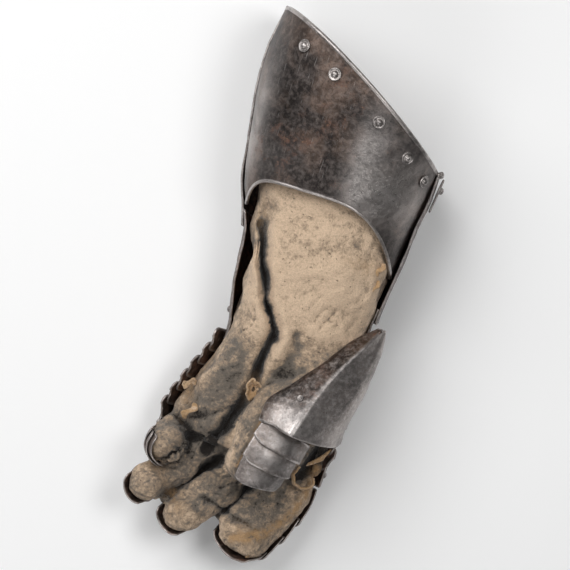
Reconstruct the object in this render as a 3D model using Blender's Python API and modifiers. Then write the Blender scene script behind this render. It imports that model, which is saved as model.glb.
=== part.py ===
"""Armour gauntlet for the left hand, lying on its back with the palm up.

Axes: +Z up (the palm side), +Y from the fingers to the mouth of the cuff, +X to the thumb side.
The origin is on the floor, under the middle of the whole gauntlet.
Metres.  Every table holds shares of the named sizes below.
"""
import math
from collections import namedtuple

import bmesh
import bpy
import numpy as np
from mathutils import Matrix, Vector

# Lengths along the forearm and hand, from the wrist line
CUFF_LENGTH = 0.150
HAND_LENGTH = 0.100
FINGER_REACH = 0.064
KNUCKLE_LINE = 0.080

# Widths and depths of the cuff's mouth, the wrist and the hand
MOUTH_WIDTH = 0.115
MOUTH_DEPTH = 0.099
WRIST_WIDTH = 0.084
WRIST_DEPTH = 0.070
HAND_WIDTH = 0.094
HAND_DEPTH = 0.045
FINGER_WIDTH = 0.022
FINGER_THICKNESS = 0.023
THUMB_WIDTH = 0.038
THUMB_RISE = 0.058

# Walls and clearances
CUFF_WALL = 0.0014
LAME_WALL = 0.0012
LEATHER_WALL = 0.0022
GAP = 0.0004
PLATE_LIFT = 0.0005
SCALE_WALL = 0.0008
ROLL_RADIUS = 0.0014
ROLL_INSET = 0.0002
TURN_RADIUS = 0.0010

# The cuff's mouth and wrist edges
MOUTH_SLANT = math.radians(30)
MOUTH_MIDDLE = 0.1185
MOUTH_BOW = 0.0035
TIP_OVERHANG = 0.0040
ARCH_MIDDLE = 0.0560
ARCH_DROP_THUMB = 0.0300
ARCH_DROP_LITTLE = 0.0150
WRIST_EDGE = 0.0140
WRIST_EDGE_SLANT = 0.0150
INNER_FROM = math.radians(-6)
INNER_TO = math.radians(186)
OUTER_FROM = math.radians(176)
OUTER_TO = math.radians(372)

# Lames over the back of the hand
LAME_COUNT = 6
LAME_LAP = 0.0044
LAMES_START = 0.0300
LAMES_END = 0.0840
KNUCKLE_EDGE = 0.0985
WRIST_TUCK = 0.0080

# Scales on the fingers, as shares of each finger's length, and angles round it in degrees
SCALE_COUNT = 4
SCALE_LAP = 0.35
SCALE_SPREAD = 124
SCALE_MIDDLE = {"index": 284, "middle": 268, "ring": 256, "little": 232}
SCALE_START = {"index": 0.27, "middle": 0.27, "ring": 0.38, "little": 0.52}
SCALE_END = 0.97

# Lames down the thumb, as shares of its length
THUMB_LAME_COUNT = 3
THUMB_LAMES_FROM = 0.58
THUMB_LAME_PITCH = 0.115
THUMB_LAME_FROM = -32
THUMB_LAME_TO = 112

# The thumb plate's rivet: share of the plate's length, and across from its crest
THUMB_RIVET_AT = (0.28, -0.20)
THUMB_RIVET_WIDTH = 0.0034

# The leaf-shaped catch, and the share of its length that the leaf takes
CATCH_LENGTH = 0.020
CATCH_WIDTH = 0.010
CATCH_WALL = 0.0010
CATCH_LEAF = 0.64
CATCH_ANGLE = math.radians(4)

# Leather straps and tabs
STRAP_WALL = 0.0012
TAB_WIDTH = 0.0090
TAB_LENGTH = 0.0130
TAB_HOLE = 0.0034
THONG_WIDTH = 0.0045
LOOP_REACH = 0.0035
CURL_RISE = 0.0085

# Rivets
RIVET_HEAD = 0.0040
RIVET_RISE = 0.0016
WASHER_WIDTH = 0.0072
WASHER_WALL = 0.0006
RIVET_INSET = 0.0110

# How square the sections are: 2 is an ellipse
SQUARENESS = 2.4
WIDEST_AT = 0.46
AROUND = 32
TIP_SHARE = 0.08

Section = namedtuple("Section", "station along shift width lift height")
Reach = namedtuple("Reach", "along side rise width thick")
Arch = namedtuple("Arch", "along little crest thumb little_rise crest_rise thumb_rise")
Leather = namedtuple("Leather", "station along shrink")
Fold = namedtuple("Fold", "along_from turn_from along_to turn_to depth width")

# The outer form, from the knuckles to the mouth.  Along is a share of the hand's or the cuff's length,
# shift and width of the station's width, lift (above the floor, outside) and height of its depth.
STATIONS = {
    "mouth": (MOUTH_WIDTH, MOUTH_DEPTH),
    "wrist": (WRIST_WIDTH, WRIST_DEPTH),
    "hand": (HAND_WIDTH, HAND_DEPTH),
}
FORM = [
    Section("hand", -1.04, -0.016, 0.936, 0.000, 0.900),
    Section("hand", -0.84, -0.016, 0.936, 0.000, 0.960),
    Section("hand", -0.60, 0.026, 0.874, 0.060, 1.150),
    Section("wrist", -0.30, 0.100, 0.874, 0.120, 0.890),
    Section("wrist", 0.00, 0.070, 0.940, 0.150, 1.000),
    Section("wrist", 0.167, 0.069, 0.995, 0.115, 1.100),
    Section("mouth", 0.273, 0.035, 0.783, 0.060, 0.820),
    Section("mouth", 0.360, 0.022, 0.833, 0.040, 0.860),
    Section("mouth", 0.580, 0.010, 0.921, 0.012, 0.940),
    Section("mouth", 0.790, 0.001, 0.963, 0.000, 1.000),
    Section("mouth", 1.040, 0.010, 0.915, 0.000, 1.035),
]

# How far the leather lies inside the outer form.
SLEEVE = [
    Leather("hand", -0.92, 0.0020),
    Leather("hand", -0.84, 0.0),
    Leather("wrist", 0.06, 0.0),
    Leather("wrist", 0.167, 0.0019),
    Leather("mouth", 0.360, 0.0080),
    Leather("mouth", 0.520, 0.0100),
]

# Folds of the palm's leather.  Each runs between two places, as shares of the hand's length past the
# wrist and of the half turn from the thumb side over the palm.  Depth (outwards) and width are shares of
# the hand's depth.
FOLDS = [
    Fold(0.45, 0.80, -0.10, 0.86, 0.070, 0.16),
    Fold(0.30, 0.70, -0.42, 0.62, -0.110, 0.15),
    Fold(0.45, 0.56, -0.30, 0.52, 0.050, 0.30),
    Fold(-0.20, 0.50, -0.62, 0.66, -0.080, 0.16),
    Fold(-0.34, 0.74, -0.74, 0.84, 0.060, 0.20),
    Fold(-0.52, 0.62, -0.80, 0.70, -0.070, 0.15),
    Fold(0.40, 0.22, -0.06, 0.20, -0.045, 0.14),
]

# The fingers' middle lines.  Along is a share of the fingers' reach past the knuckle line, side of the
# hand's width, rise of its depth, width and thick of the finger's.
FINGERS = {
    "index": [
        Reach(0.00, 0.325, 0.50, 1.02, 0.96),
        Reach(0.30, 0.322, 0.45, 1.12, 1.00),
        Reach(0.61, 0.240, 0.49, 1.30, 0.98),
        Reach(0.85, 0.140, 0.62, 1.34, 0.87),
        Reach(0.97, 0.070, 0.78, 0.92, 0.60),
    ],
    "middle": [
        Reach(0.00, 0.095, 0.50, 0.98, 0.98),
        Reach(0.32, 0.005, 0.45, 0.96, 0.95),
        Reach(0.62, -0.112, 0.52, 0.94, 0.90),
        Reach(0.83, -0.228, 0.71, 0.92, 0.83),
        Reach(0.93, -0.290, 0.90, 0.70, 0.60),
    ],
    "ring": [
        Reach(0.00, -0.120, 0.50, 0.90, 0.98),
        Reach(0.27, -0.237, 0.46, 0.86, 0.93),
        Reach(0.53, -0.368, 0.53, 0.84, 0.87),
        Reach(0.70, -0.480, 0.74, 0.84, 0.81),
        Reach(0.76, -0.530, 0.92, 0.64, 0.60),
    ],
    "little": [
        Reach(-0.03, -0.315, 0.52, 0.80, 0.94),
        Reach(0.14, -0.388, 0.52, 0.74, 0.85),
        Reach(0.27, -0.455, 0.70, 0.76, 0.80),
        Reach(0.33, -0.448, 0.94, 0.82, 0.81),
        Reach(0.35, -0.425, 1.12, 0.60, 0.60),
    ],
}

# The thumb's middle line, along as a share of the hand's length, rise of the thumb's, width and thick
# of the thumb's width.
THUMB = [
    Reach(-0.20, 0.352, 0.80, 0.52, 0.62),
    Reach(-0.45, 0.335, 0.90, 0.86, 0.86),
    Reach(-0.66, 0.160, 1.00, 1.04, 0.80),
    Reach(-0.85, 0.098, 1.00, 0.94, 0.76),
    Reach(-1.00, 0.073, 0.98, 0.80, 0.62),
    Reach(-1.07, 0.070, 0.96, 0.50, 0.40),
]

# The thumb plate's little-finger edge, crest and thumb edge.
THUMB_PLATE = [
    Arch(-0.03, 0.532, 0.553, 0.574, 0.93, 0.97, 0.95),
    Arch(-0.15, 0.404, 0.479, 0.588, 1.00, 1.12, 0.93),
    Arch(-0.30, 0.287, 0.383, 0.578, 1.11, 1.24, 0.90),
    Arch(-0.45, 0.165, 0.309, 0.559, 1.16, 1.31, 0.85),
    Arch(-0.60, 0.034, 0.255, 0.530, 1.23, 1.37, 0.79),
    Arch(-0.70, 0.030, 0.229, 0.516, 1.27, 1.39, 0.74),
]
THUMB_PLATE_DIP = 0.075


def smooth(places, values, at):
    """Values at the given places on a smooth curve through the table that never overshoots its rows."""
    places = np.asarray(places, float)
    values = np.asarray(values, float)
    at = np.clip(np.atleast_1d(np.asarray(at, float)), places[0], places[-1])
    step = np.diff(places)
    rise = np.diff(values) / step
    slope = np.zeros_like(values)
    slope[0], slope[-1] = rise[0], rise[-1]
    same_way = rise[:-1] * rise[1:] > 0
    total = np.where(same_way, rise[:-1] + rise[1:], 1.0)
    slope[1:-1] = np.where(same_way, 2 * rise[:-1] * rise[1:] / total, 0.0)
    i = np.clip(np.searchsorted(places, at, side="right") - 1, 0, len(step) - 1)
    h = step[i]
    t = (at - places[i]) / h
    return (values[i] * (2 * t**3 - 3 * t**2 + 1) + slope[i] * h * (t**3 - 2 * t**2 + t)
            + values[i + 1] * (3 * t**2 - 2 * t**3) + slope[i + 1] * h * (t**3 - t**2))


def station_length(along):
    """Place on the Y axis of a share of the cuff's length, or below the wrist of the hand's."""
    return along * (CUFF_LENGTH if along > 0 else HAND_LENGTH)


# How far the plates stand out from the form, to their middle surface
LAME_REST = PLATE_LIFT + LAME_WALL / 2
LAME_STEP = LAME_WALL + GAP
OUTER_REST = CUFF_WALL + 2 * GAP
OUTER_REST_WRIST = PLATE_LIFT + LAME_WALL + 2 * GAP + CUFF_WALL / 2
OUTER_RIM = OUTER_REST - CUFF_WALL / 2 + ROLL_RADIUS + ROLL_INSET
LAME_PITCH = (LAMES_END - LAMES_START) / LAME_COUNT
LAME_TOP = LAME_REST + LAME_STEP * (1 + LAME_LAP / LAME_PITCH) + LAME_WALL / 2
FLOOR_STACK = max(OUTER_RIM + ROLL_RADIUS, LAME_TOP)
KNUCKLE_REST = FLOOR_STACK - LAME_WALL / 2
SCALE_REST = PLATE_LIFT + SCALE_WALL / 2
SCALE_STEP = SCALE_WALL + GAP

FORM_Y = [station_length(row.along) for row in FORM]
FORM_SHIFT = [row.shift * STATIONS[row.station][0] for row in FORM]
FORM_HALF = [row.width * STATIONS[row.station][0] / 2 for row in FORM]
FORM_FLOOR = [row.lift * STATIONS[row.station][1] + FLOOR_STACK for row in FORM]
FORM_TOP = [row.height * STATIONS[row.station][1] for row in FORM]


def form_point(y, angle, offset=0.0):
    """Point of the outer form at y and at an angle from +X towards +Z, moved outwards by the offset.

    Each section is a squared ellipse, with unlike halves below and above its widest line.
    """
    y, angle, offset = np.broadcast_arrays(np.asarray(y, float), angle, offset)
    shape = y.shape
    y, angle, offset = y.ravel(), angle.ravel(), offset.ravel()
    shift = smooth(FORM_Y, FORM_SHIFT, y)
    half = smooth(FORM_Y, FORM_HALF, y)
    floor = smooth(FORM_Y, FORM_FLOOR, y)
    top = smooth(FORM_Y, FORM_TOP, y)
    middle = floor + WIDEST_AT * (top - floor)
    cos, sin = np.cos(angle), np.sin(angle)
    power = 2 / SQUARENESS
    tall = np.where(sin > 0, top - middle, middle - floor)
    x = half * np.sign(cos) * np.abs(cos) ** power
    z = tall * np.sign(sin) * np.abs(sin) ** power
    out_x = np.sign(x) * (np.abs(x) / half) ** (SQUARENESS - 1) / half
    out_z = np.sign(z) * (np.abs(z) / tall) ** (SQUARENESS - 1) / tall
    size = np.hypot(out_x, out_z)
    place = np.stack([shift + x + offset * out_x / size, y, middle + z + offset * out_z / size], axis=-1)
    return place.reshape(shape + (3,))


def mouth_y(angle, beyond=0.0):
    """Y of the cuff's slanted, slightly bowed mouth at an angle round the form."""
    y = np.full(np.shape(angle), MOUTH_MIDDLE)
    for _ in range(6):
        x = form_point(y, angle)[..., 0]
        bow = MOUTH_BOW * (1 - (2 * x / MOUTH_WIDTH) ** 2)
        y = MOUTH_MIDDLE - math.tan(MOUTH_SLANT) * x + bow + beyond * np.clip(-2 * x / MOUTH_WIDTH, 0.15, 1)
    return y


def arch_y(angle):
    """Y of the inner plate's arched edge: it drops with a power of the distance from the middle."""
    cos = np.cos(angle)
    return ARCH_MIDDLE - np.where(cos > 0, ARCH_DROP_THUMB * cos**2, ARCH_DROP_LITTLE * cos**8)


def wrist_edge_y(angle):
    """Y of the outer plate's slanted wrist edge, which is lower on the thumb side."""
    return WRIST_EDGE - WRIST_EDGE_SLANT * np.cos(angle)


def outer_rest(y):
    """Offset of the outer plate's middle surface, which clears the wrist plate near the wrist."""
    return smooth([-CUFF_LENGTH, 0.30 * CUFF_LENGTH, 0.60 * CUFF_LENGTH, 2 * CUFF_LENGTH],
                  [OUTER_REST_WRIST, OUTER_REST_WRIST, OUTER_REST, OUTER_REST], y.ravel()).reshape(y.shape)


def new_object(name, mesh, collection):
    piece = bpy.data.objects.new(name, mesh)
    collection.objects.link(piece)
    return piece


def grid_mesh(name, points):
    """Open mesh through a grid of points, with its faces in rows."""
    rows, columns = points.shape[:2]
    index = np.arange(rows * columns).reshape(rows, columns)
    quads = np.stack([index[:-1, :-1], index[:-1, 1:], index[1:, 1:], index[1:, :-1]], axis=-1)
    mesh = bpy.data.meshes.new(name)
    mesh.from_pydata(points.reshape(-1, 3).tolist(), [], quads.reshape(-1, 4).tolist())
    mesh.update()
    return mesh


def loft_mesh(name, rings):
    """Closed mesh through rings of points, with a flat cap on each end."""
    count, around = rings.shape[:2]
    index = np.arange(count * around).reshape(count, around)
    after = np.roll(index, -1, axis=1)
    quads = np.stack([index[:-1], after[:-1], after[1:], index[1:]], axis=-1).reshape(-1, 4).tolist()
    faces = quads + [index[0, ::-1].tolist(), index[-1].tolist()]
    mesh = bpy.data.meshes.new(name)
    mesh.from_pydata(rings.reshape(-1, 3).tolist(), [], faces)
    shell = bmesh.new()
    shell.from_mesh(mesh)
    bmesh.ops.recalc_face_normals(shell, faces=shell.faces)
    shell.to_mesh(mesh)
    shell.free()
    return mesh


def plate(name, points, wall, collection):
    """Plate through a grid of points, which lie on its middle surface."""
    piece = new_object(name, grid_mesh(name, points), collection)
    shell = piece.modifiers.new("Wall", "SOLIDIFY")
    shell.thickness = wall
    shell.offset = 0.0
    piece.data.shade_smooth()
    return piece


def wire(name, points, radius, collection, resolution=1):
    """Round bar along points, with closed ends, as a mesh."""
    curve = bpy.data.curves.new(name, "CURVE")
    curve.dimensions = "3D"
    spline = curve.splines.new("POLY")
    spline.points.add(len(points) - 1)
    for target, point in zip(spline.points, points):
        target.co = (*point, 1.0)
    curve.bevel_depth = radius
    curve.bevel_resolution = resolution
    curve.use_fill_caps = True
    return meshed(new_object(name, curve, collection), collection)


def meshed(piece, collection):
    """The evaluated piece as a plain welded mesh object of the same name and place."""
    mesh = bpy.data.meshes.new_from_object(piece.evaluated_get(bpy.context.evaluated_depsgraph_get()))
    shell = bmesh.new()
    shell.from_mesh(mesh)
    bmesh.ops.remove_doubles(shell, verts=shell.verts, dist=0.00001)
    bmesh.ops.recalc_face_normals(shell, faces=shell.faces)
    shell.to_mesh(mesh)
    shell.free()
    name, place = piece.name, piece.matrix_world.copy()
    bpy.data.objects.remove(piece)
    result = new_object(name, mesh, collection)
    result.matrix_world = place
    return result


def combine(piece, other, operation, collection):
    """The piece joined with, or cut by, the other one, which is used up."""
    cut = piece.modifiers.new("Cut", "BOOLEAN")
    cut.operation = operation
    cut.object = other
    bpy.context.view_layer.update()
    result = meshed(piece, collection)
    bpy.data.objects.remove(other)
    return result


def edge_path(y_of, rest_of, start, end, count):
    """Points along a plate's edge, from one angle to another."""
    angle = np.linspace(start, end, count)
    y = y_of(angle)
    return form_point(y, angle, rest_of(y))


def cuff_plate(name, start, end, foot_of, head_of, rest_of, columns, rows, collection):
    """Half of the cuff: the form between two angles, from its wrist edge to its mouth edge."""
    angle, along = np.meshgrid(np.linspace(start, end, columns), np.linspace(0, 1, rows))
    y = foot_of(angle) + along * (head_of(angle) - foot_of(angle))
    return plate(name, form_point(y, angle, rest_of(y)), CUFF_WALL, collection)


def cuff_inner_plate(collection):
    """Plate over the inside of the forearm, with a rolled mouth and a turned arched edge."""
    name = "cuff_inner_plate"
    piece = cuff_plate(name, INNER_FROM, INNER_TO, arch_y, mouth_y, np.zeros_like, 27, 5, collection)
    piece = meshed(piece, collection)
    clear = math.radians(4)
    ends = OUTER_TO - 2 * math.pi + clear, OUTER_FROM - clear
    roll = wire("roll", edge_path(mouth_y, np.zeros_like, *ends, 25), ROLL_RADIUS, collection)
    piece = combine(piece, roll, "UNION", collection)
    turn = wire("turn", edge_path(arch_y, np.zeros_like, *ends, 25), TURN_RADIUS, collection)
    return combine(piece, turn, "UNION", collection)


def outer_mouth_y(angle):
    return mouth_y(angle, TIP_OVERHANG)


def cuff_outer_plate(collection):
    """Plate over the back of the forearm, outside the inner plate's edges, with a rolled mouth."""
    name = "cuff_outer_plate"
    piece = cuff_plate(name, OUTER_FROM, OUTER_TO, wrist_edge_y, outer_mouth_y, outer_rest, 27, 6, collection)
    piece = meshed(piece, collection)

    def rim_rest(y):
        return np.full_like(y, OUTER_RIM)

    path = edge_path(outer_mouth_y, rim_rest, OUTER_FROM, OUTER_TO, 30)
    roll = wire("roll", path, ROLL_RADIUS, collection)
    return combine(piece, roll, "UNION", collection)


def on_form(y, angle, offset):
    """Matrix of a seat on the form: local Z points squarely outwards and local Y along the form."""
    step = 0.0005
    place = form_point(y, angle, offset)
    along = Vector(form_point(y + step, angle, offset) - place).normalized()
    around = Vector(form_point(y, angle + 0.01, offset) - place).normalized()
    out = around.cross(along).normalized()
    if out.dot(Vector(form_point(y, angle, offset + step) - place)) < 0:
        out.negate()
    frame = Matrix((along.cross(out), along, out)).transposed().to_4x4()
    frame.translation = place
    return frame


def rivet(name, seat, collection, washer=True, width=RIVET_HEAD):
    """Domed rivet head on a small washer: a turned profile, flat below, on a seat matrix."""
    half = width / 2
    dome = [(half * math.cos(t), RIVET_RISE * math.sin(t)) for t in np.linspace(math.pi / 2, 0, 4)]
    base = WASHER_WALL if washer else 0.0003
    profile = [(max(x, 0.0), z + base) for x, z in dome]
    if washer:
        profile += [(WASHER_WIDTH / 2, WASHER_WALL), (WASHER_WIDTH / 2, 0.0)]
    else:
        profile += [(half, 0.0)]
    profile += [(0.0, 0.0)]
    mesh = bpy.data.meshes.new(name)
    edges = [(i, i + 1) for i in range(len(profile) - 1)]
    mesh.from_pydata([(x, 0.0, z) for x, z in profile], edges, [])
    piece = new_object(name, mesh, collection)
    turn = piece.modifiers.new("Turn", "SCREW")
    turn.steps = turn.render_steps = 8
    turn.use_merge_vertices = True
    turn.merge_threshold = 0.00001
    piece.matrix_world = seat
    return piece


def cuff_rivets(collection):
    """Lining rivets along the mouth of both plates."""
    pieces = []
    inner = np.radians([127, 103, 79, 55, 32])
    for number, angle in enumerate(inner, 1):
        seat = on_form(float(mouth_y(angle)) - RIVET_INSET, angle, CUFF_WALL / 2 + PLATE_LIFT)
        pieces.append(rivet(f"cuff_rivet_{number}", seat, collection))
    outer = np.radians([205, 238, 302, 335])
    for number, angle in enumerate(outer, 1):
        y = float(outer_mouth_y(angle)) - RIVET_INSET
        rest = float(outer_rest(np.array([y]))[0])
        seat = on_form(y, angle, rest + CUFF_WALL / 2 + PLATE_LIFT)
        pieces.append(rivet(f"cuff_back_rivet_{number}", seat, collection, washer=False))
    return pieces


def turns(first, last):
    """Angles round the form, in steps that the leather and the plates share."""
    return np.arange(first, last + 1) * 2 * math.pi / AROUND


def lame_row(near, far, angles):
    """Grid of a lame's middle surface, which rises from its far edge to the one nearer the wrist."""
    y, angle = np.meshgrid(np.linspace(far, near, 3), angles, indexing="ij")
    return form_point(y, angle, LAME_REST + LAME_STEP * (y - far) / LAME_PITCH)


def hand_plates(collection):
    """Wrist plate, lames and knuckle plate over the back of the hand, each over the one before.

    The middle of the knuckle plate is flat, where the gauntlet rests on it.
    """
    along, angle = np.meshgrid(np.linspace(0, 1, 6), turns(AROUND // 2 - 1, AROUND + 1), indexing="ij")
    far_end = -LAMES_START - LAME_LAP
    y = far_end + along * (wrist_edge_y(angle) + WRIST_TUCK - far_end)
    pieces = [plate("wrist_plate", form_point(y, angle, LAME_REST), LAME_WALL, collection)]
    half_round = turns(AROUND // 2, AROUND)
    for number in range(LAME_COUNT):
        near = -LAMES_START - number * LAME_PITCH
        points = lame_row(near, near - LAME_PITCH - LAME_LAP, half_round)
        pieces.append(plate(f"hand_lame_{number + 1}", points, LAME_WALL, collection))
    y, angle = np.meshgrid(np.linspace(-KNUCKLE_EDGE, -LAMES_END, 3), half_round, indexing="ij")
    points = form_point(y, angle, KNUCKLE_REST)
    middle = AROUND // 4
    points[:, middle - 1:middle + 2, 2] = points[:, middle:middle + 1, 2]
    pieces.append(plate("knuckle_plate", points, LAME_WALL, collection))
    return pieces


def finger_rows(name):
    """A finger's middle line, half widths and half thicknesses, in metres."""
    return np.array([
        (row.side * HAND_WIDTH, -KNUCKLE_LINE - row.along * FINGER_REACH, row.rise * HAND_DEPTH,
         row.width * FINGER_WIDTH / 2, row.thick * FINGER_THICKNESS / 2) for row in FINGERS[name]])


def thumb_rows():
    """The thumb's middle line, half widths and half thicknesses, in metres."""
    return np.array([
        (row.side * HAND_WIDTH, row.along * HAND_LENGTH, row.rise * THUMB_RISE,
         row.width * THUMB_WIDTH / 2, row.thick * THUMB_WIDTH / 2) for row in THUMB])


def tube_point(rows, share, angle, offset=0.0):
    """Point of a bent tube at a share of its length and an angle from its side towards its upper face.

    The middle line runs smoothly through the rows.  Its sides point level, square to its heading.
    """
    share, angle, offset = np.broadcast_arrays(np.asarray(share, float), angle, offset)
    shape = share.shape
    share, angle, offset = share.ravel(), angle.ravel(), offset.ravel()
    steps = np.linalg.norm(np.diff(rows[:, :3], axis=0), axis=1)
    places = np.concatenate([[0], np.cumsum(steps)]) / steps.sum()
    centre = np.stack([smooth(places, rows[:, i], share) for i in range(3)], axis=-1)
    ahead = np.stack([smooth(places, rows[:, i], np.minimum(share + 0.02, 1.0)) for i in range(3)], axis=-1)
    behind = np.stack([smooth(places, rows[:, i], np.maximum(share - 0.02, 0.0)) for i in range(3)], axis=-1)
    heading = ahead - behind
    heading /= np.linalg.norm(heading, axis=1, keepdims=True)
    level = rows[-1, :2] - rows[0, :2]
    side = np.array([-level[1], level[0], 0.0]) / np.hypot(*level)
    side = side - heading * (heading @ side)[:, None]
    side /= np.linalg.norm(side, axis=1, keepdims=True)
    upper = np.cross(heading, side)
    half = smooth(places, rows[:, 3], share)[:, None] + offset[:, None]
    thick = smooth(places, rows[:, 4], share)[:, None] + offset[:, None]
    place = centre + side * half * np.cos(angle)[:, None] + upper * thick * np.sin(angle)[:, None]
    return place.reshape(shape + (3,))


def tube_loft(name, rows, start, end, count, around, offset, collection):
    """Closed loft of a bent tube between two shares of its length, rounded off at its tip."""
    share = np.concatenate([np.linspace(start, end - TIP_SHARE, count), end - TIP_SHARE * np.array([0.5, 0.14, 0])])
    share, angle = np.meshgrid(share, np.linspace(0, 2 * math.pi, around + 1)[:-1], indexing="ij")
    past = np.clip((share - end + TIP_SHARE) / TIP_SHARE, 0, 1)
    tip = min(rows[-1, 3], rows[-1, 4]) + offset
    rest = offset - 0.8 * tip * (1 - np.sqrt(1 - 0.99 * past**2))
    return new_object(name, loft_mesh(name, tube_point(rows, share, angle, rest)), collection)


def sleeve_shrink(y):
    """How far the leather lies inside the outer form at y."""
    return smooth([station_length(row.along) for row in SLEEVE], [row.shrink for row in SLEEVE], y)


def fold_offset(y, angle):
    """Sum of the folds at points of the form: each is a smooth ridge or valley beside its line."""
    total = np.zeros_like(y)
    reach = WRIST_WIDTH / 2
    for fold in FOLDS:
        start = np.array([fold.along_from * HAND_LENGTH, fold.turn_from * math.pi * reach])
        run = np.array([fold.along_to * HAND_LENGTH, fold.turn_to * math.pi * reach]) - start
        away = np.stack([y - start[0], angle * reach - start[1]], axis=-1)
        t = np.clip(away @ run / (run @ run), 0, 1)
        gap = np.linalg.norm(away - t[..., None] * run, axis=-1)
        width = fold.width * HAND_DEPTH / 2
        total += fold.depth * HAND_DEPTH * np.exp(-(gap / width) ** 2) * np.sin(math.pi * (0.1 + 0.8 * t))
    return total * (angle < math.pi)


def sleeve_loft(name, offset, beyond, inset, collection):
    """Closed loft of the glove's wrist and palm, from the knuckles to its open end.

    The palm has half as many points again round it as the back, for its folds.
    """
    places = [station_length(row.along) for row in SLEEVE]
    y = np.array([places[0] + inset, *np.linspace(places[1], 0.0, 10), *np.linspace(0.0, places[-1], 6)[1:]])
    palm = np.linspace(0, math.pi, 3 * AROUND // 4 + 1)[:-1]
    rows, angle = np.meshgrid(y, np.concatenate([palm, turns(AROUND // 2, AROUND - 1)]), indexing="ij")
    rest = offset - sleeve_shrink(y)[:, None] + fold_offset(rows, angle)
    rows[-1] += beyond
    return new_object(name, loft_mesh(name, form_point(rows, angle, rest)), collection)


def glove(collection):
    """Leather glove: the outer forms joined, less the inner forms joined, open at the wrist."""
    wall = LEATHER_WALL
    outer = sleeve_loft("glove", 0.0, 0.0, 0.0, collection)
    inner = sleeve_loft("hollow", -wall, 0.002, wall, collection)
    for name in FINGERS:
        rows = finger_rows(name)
        outer = combine(outer, tube_loft(name, rows, 0, 1, 7, 12, 0.0, collection), "UNION", collection)
        inner = combine(inner, tube_loft(name, rows, 0, 0.95, 6, 10, -wall, collection), "UNION", collection)
    rows = thumb_rows()
    outer = combine(outer, tube_loft("thumb", rows, 0, 1, 8, 16, 0.0, collection), "UNION", collection)
    inner = combine(inner, tube_loft("thumb", rows, 0.04, 0.95, 7, 14, -wall, collection), "UNION",
                    collection)
    return combine(outer, inner, "DIFFERENCE", collection)


def on_leather(y, angle, clear):
    """Matrix of a seat on the glove's wrist or palm, clear of its folds."""
    fold = float(fold_offset(np.array([y]), np.array([angle]))[0])
    return on_form(y, angle, clear - float(sleeve_shrink(y)[0]) + fold)


def tube_lame(name, rows, near, far, angles, rests, wall, collection):
    """Curved lame on a bent tube between two shares of its length, with a rest for each end."""
    share, angle = np.meshgrid(np.linspace(far, near, 4), np.radians(angles), indexing="ij")
    rest = rests[1] + (share - far) / (near - far) * (rests[0] - rests[1])
    return plate(name, tube_point(rows, share, angle, rest), wall, collection)


def finger_scales(collection):
    """Scales on the back of each finger, each over the next one towards the fingertip."""
    pieces = []
    for finger, first in SCALE_START.items():
        rows = finger_rows(finger)
        pitch = (SCALE_END - first) / SCALE_COUNT
        angles = SCALE_MIDDLE[finger] + SCALE_SPREAD * np.linspace(-0.5, 0.5, 7)
        for number in range(SCALE_COUNT):
            near = first + number * pitch
            far = min(near + pitch * (1 + SCALE_LAP), 1.0)
            rests = SCALE_REST, SCALE_REST + SCALE_STEP * (far - near) / pitch
            pieces.append(tube_lame(f"{finger}_scale_{number + 1}", rows, near, far,
                                    angles, rests, SCALE_WALL, collection))
    return pieces


def thumb_arch(share, across):
    """Point of the thumb plate's middle surface, at a share of its length from its far edge.

    Across runs from -1 at the little-finger edge, over the crest at 0, to 1 at the thumb edge.
    """
    share, across = np.broadcast_arrays(np.asarray(share, float), across)
    along = [row.along * HAND_LENGTH for row in THUMB_PLATE][::-1]
    y = along[0] + share * (along[-1] - along[0])

    def column(name, size):
        values = [getattr(row, name) * size for row in THUMB_PLATE][::-1]
        return smooth(along, values, y.ravel()).reshape(y.shape)

    crest_x, crest_z = column("crest", HAND_WIDTH), column("crest_rise", THUMB_RISE)
    little = across < 0
    edge_x = np.where(little, column("little", HAND_WIDTH), column("thumb", HAND_WIDTH))
    edge_z = np.where(little, column("little_rise", THUMB_RISE), column("thumb_rise", THUMB_RISE))
    reach = np.abs(across)
    x = crest_x + (edge_x - crest_x) * np.sin(reach * math.pi / 2) ** 0.9
    z = crest_z + (edge_z - crest_z) * (0.35 * reach + 0.65 * (1 - np.cos(reach * math.pi / 2)))
    dip = THUMB_PLATE_DIP * HAND_LENGTH * np.clip(across + 0.35, 0, None) * np.clip(1 - across, 0, None)
    return np.stack([x, y - dip * (1 - share), z], axis=-1)


def thumb_plate(collection):
    """Kite-shaped plate over the ball of the thumb, and its rivet."""
    share, across = np.meshgrid(np.linspace(1, 0, 6), np.linspace(-1, 1, 13), indexing="ij")
    pieces = [plate("thumb_plate", thumb_arch(share, across), CUFF_WALL, collection)]
    place = Vector(thumb_arch(*THUMB_RIVET_AT))
    along = (Vector(thumb_arch(THUMB_RIVET_AT[0] + 0.02, THUMB_RIVET_AT[1])) - place).normalized()
    over = (Vector(thumb_arch(THUMB_RIVET_AT[0], THUMB_RIVET_AT[1] + 0.04)) - place).normalized()
    out = over.cross(along).normalized()
    frame = Matrix((along.cross(out), along, out)).transposed().to_4x4()
    frame.translation = place + out * (CUFF_WALL / 2 + GAP)
    pieces.append(rivet("thumb_rivet", frame, collection, washer=False, width=THUMB_RIVET_WIDTH))
    return pieces


def thumb_lames(collection):
    """Three curved lames down the thumb, each over the next one towards the tip."""
    rows = thumb_rows()
    pieces = []
    for number in range(THUMB_LAME_COUNT):
        near = THUMB_LAMES_FROM + number * THUMB_LAME_PITCH
        far = near + THUMB_LAME_PITCH * (1 + SCALE_LAP)
        rests = LAME_REST, LAME_REST + LAME_STEP * (1 + SCALE_LAP)
        angles = np.linspace(THUMB_LAME_FROM, THUMB_LAME_TO, 10)
        pieces.append(tube_lame(f"thumb_lame_{number + 1}", rows, near, far, angles, rests,
                                LAME_WALL, collection))
    return pieces


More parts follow.
